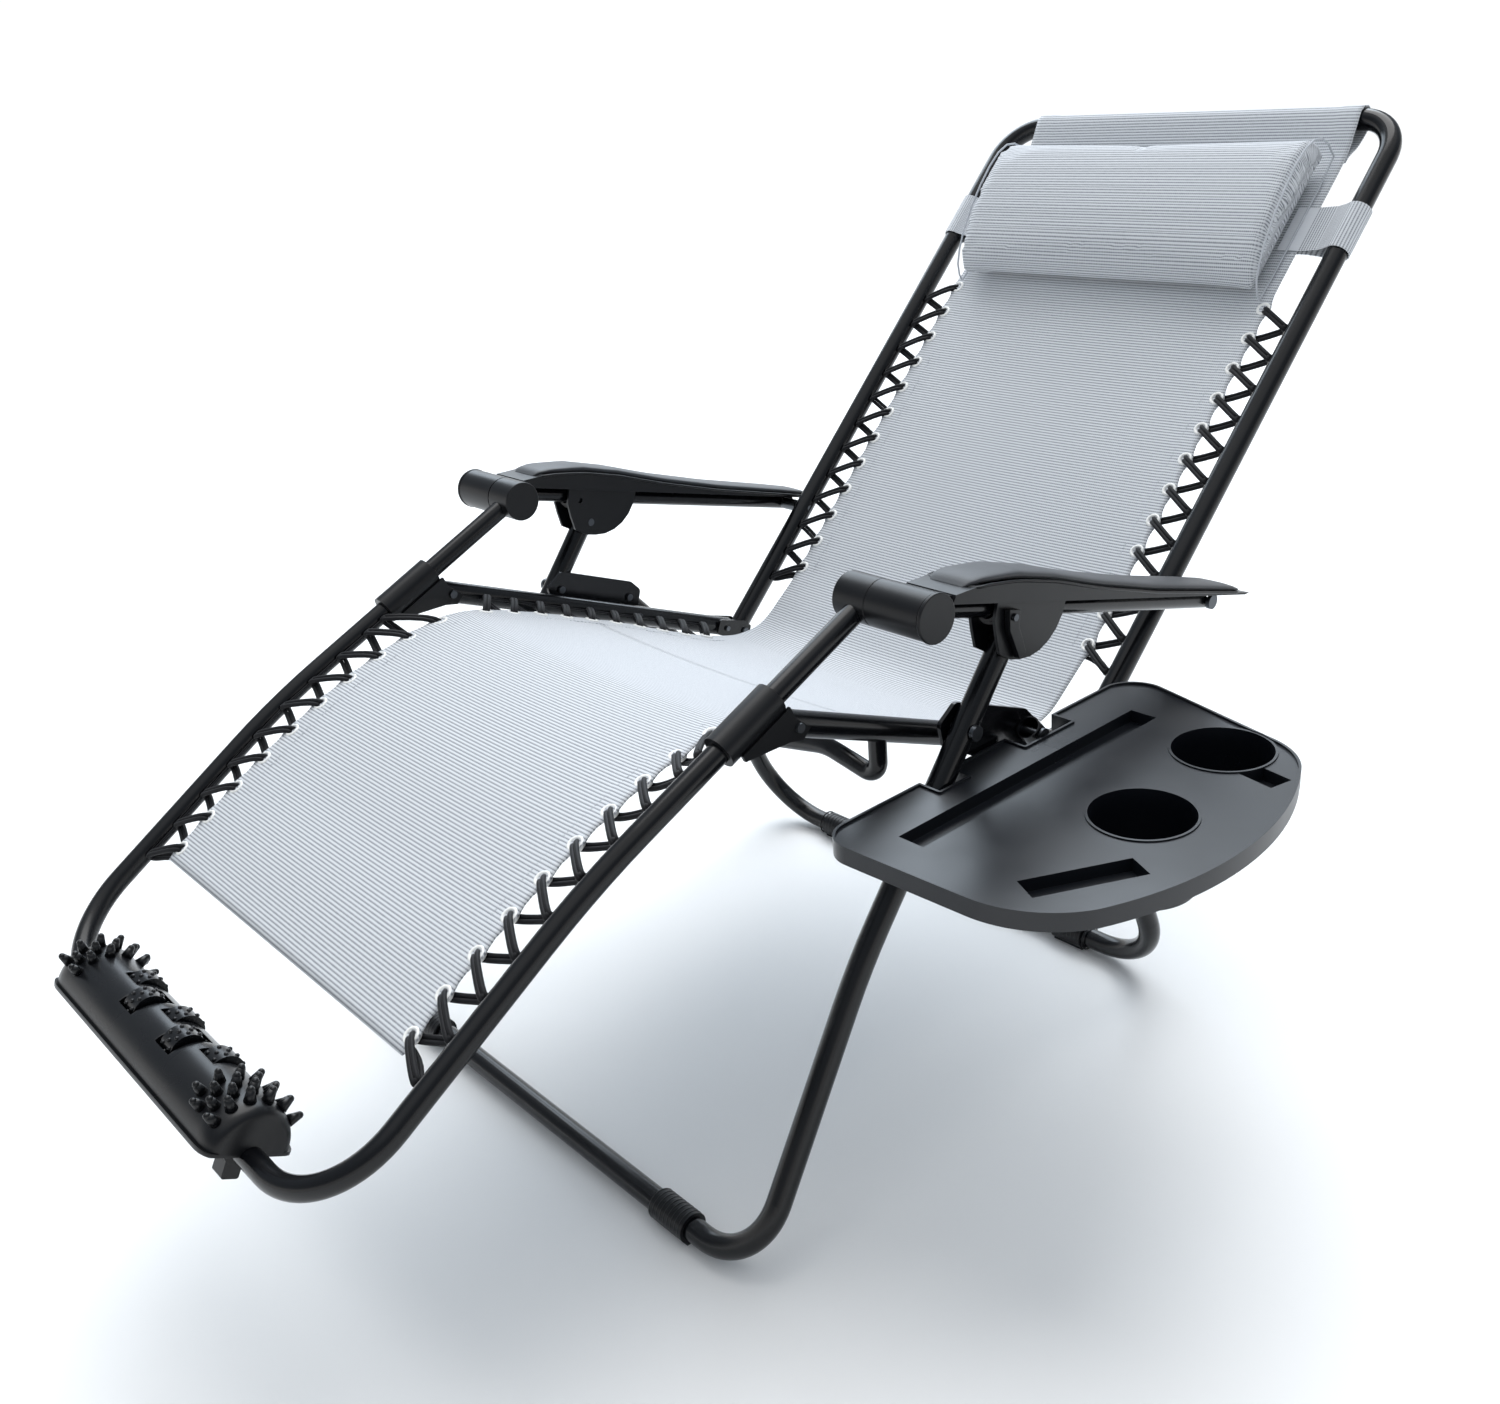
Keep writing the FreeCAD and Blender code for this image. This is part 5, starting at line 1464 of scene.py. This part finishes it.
@dataclass
class Hems:
    """Stitch rows that hold the side hems."""

    layout: Layout
    sling: Sling
    pitch: float = 5.0
    inset: float = 23.0

    def build(self) -> None:
        """Sew each laced part along both sides, one piece for each body."""
        for part in Part:
            line = smooth_line(self.sling.panel(part), 4.0)
            length = sum(math.dist(p, q) for p, q in zip(line, line[1:]))
            places, directions, tangents = [], [], []
            for number in range(int(length / self.pitch)):
                spot, angle = walk(line, number * self.pitch)
                normal = self.sling.normal(angle)
                ahead = along((0, 0), angle, 1.0)
                for side in (1, -1):
                    places.append(self.layout.point(side * (self.sling.half - self.inset), *spot))
                    directions.append(normal)
                    tangents.append(Vector((0, -ahead[0], ahead[1])))
            piece = STITCHES.grow(f"hem_stitches_{part.value}", places, directions, tangents,
                                  part.value)
            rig.slot(piece, "light_mesh")


@dataclass
class Studio:
    """Pale floor, soft light and the camera."""

    azimuth: float = 50.765
    elevation: float = 24.475
    roll: float = -5.12
    stand: tuple[float, float, float] = (1.0532, 0.8686, 0.9428)

    def build(self, layout: Layout) -> None:
        """Set the floor, the lights and the camera."""
        mesh = bpy.data.meshes.new("studio_floor")
        size = 60.0
        mesh.from_pydata([(-size, -size, 0), (size, -size, 0), (size, size, 0), (-size, size, 0)],
                         [], [(0, 1, 2, 3)])
        mesh.materials.append(Surface.FLOOR.value.material())
        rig.stage(link("studio_floor", mesh))
        self.sky()
        sun = bpy.data.lights.new("overcast", "SUN")
        sun.energy = 1.9
        sun.angle = math.radians(50)
        self.hang(sun, (-0.7, 0.9, 3.0))
        panel = bpy.data.lights.new("sky_panel", "AREA")
        panel.energy = 150.0
        panel.color = (0.8, 0.9, 1.0)
        panel.shape = "RECTANGLE"
        panel.size = 4.2
        panel.size_y = 3.0
        self.hang(panel, (-2.9, 2.5, 3.0))
        self.camera(layout)
        bpy.context.scene.view_settings.view_transform = "Standard"

    def sky(self) -> None:
        """Light the room with a dim soft dome, brighter overhead, over a white horizon band."""
        world = bpy.data.worlds.new("studio_sky")
        world.use_nodes = True
        tree = world.node_tree
        place = add_node(tree, "ShaderNodeTexCoord").outputs["Generated"]
        height = add_node(tree, "ShaderNodeSeparateXYZ", None, {0: place}).outputs["Z"]
        ramp = add_node(tree, "ShaderNodeValToRGB", None, {0: height})
        stops = ramp.color_ramp.elements
        stops[0].position, stops[0].color = 0.0, linear("#ffffff")
        stops[1].position, stops[1].color = 1.0, linear("#fbfdff")
        for position, colour in ((0.16, "#ffffff"), (0.26, "#8a9199"), (0.62, "#9aa3ad"),
                                 (0.85, "#f2f6fb")):
            stops.new(position).color = linear(colour)
        tree.links.new(ramp.outputs["Color"], tree.nodes["Background"].inputs["Color"])
        tree.nodes["Background"].inputs["Strength"].default_value = 1.05
        bpy.context.scene.world = world

    def hang(self, light: bpy.types.Light, place: tuple[float, float, float]) -> None:
        """Hang a light at a place, turned to the chair's middle."""
        lamp = link(light.name, light)
        lamp.location = place
        lamp.rotation_euler = (Vector((0, 0, 0.4)) - Vector(place)).to_track_quat(
            "-Z", "Y").to_euler()

    def camera(self, layout: Layout) -> None:
        """Stand the camera at the chair's left foot corner, looking down and back along it."""
        a, e, r = (math.radians(v) for v in (self.azimuth, self.elevation, self.roll))
        back = Vector((math.sin(a) * math.cos(e), -math.cos(a) * math.cos(e), math.sin(e)))
        up = Vector((0, 0, 1))
        right = up.cross(back).normalized()
        over = back.cross(right)
        across = right * math.cos(r) + over * math.sin(r)
        above = -right * math.sin(r) + over * math.cos(r)
        camera = bpy.data.cameras.new("view")
        camera.sensor_width = 36.0
        camera.sensor_fit = "HORIZONTAL"
        camera.lens = 35.69
        camera.shift_x = 0.0062
        camera.shift_y = 0.0155
        camera.clip_start = 0.05
        eye = link("view", camera)
        turn = Matrix((across, above, back)).transposed().to_4x4()
        x, forward, height = self.stand
        turn.translation = layout.point(x * 1000, forward * 1000, height * 1000)
        eye.matrix_world = turn
        bpy.context.scene.camera = eye


def main() -> None:
    """Build the looks in order and write both boxes of the model."""
    cad_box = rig.bounds()
    layout = Layout.from_frame()
    hardware = Hardware(layout)
    hardware.dress()
    hardware.build()
    sling = Sling(layout)
    sling.build()
    sling.build_eyelets()
    Lacing(layout, sling).build()
    Hems(layout, sling).build()
    for side in (1, -1):
        Armrest(layout, side).build()
    Pillow(layout, sling).build()
    Massager(layout).build()
    Studio().build(layout)
    boxes = {"cad": [list(v) for v in cad_box], "visual": [list(v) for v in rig.bounds()]}
    with open("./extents.json", "w") as out:
        json.dump(boxes, out)
    log.info("cad %s", boxes["cad"])
    log.info("visual %s", boxes["visual"])


if __name__ == "__main__":
    main()
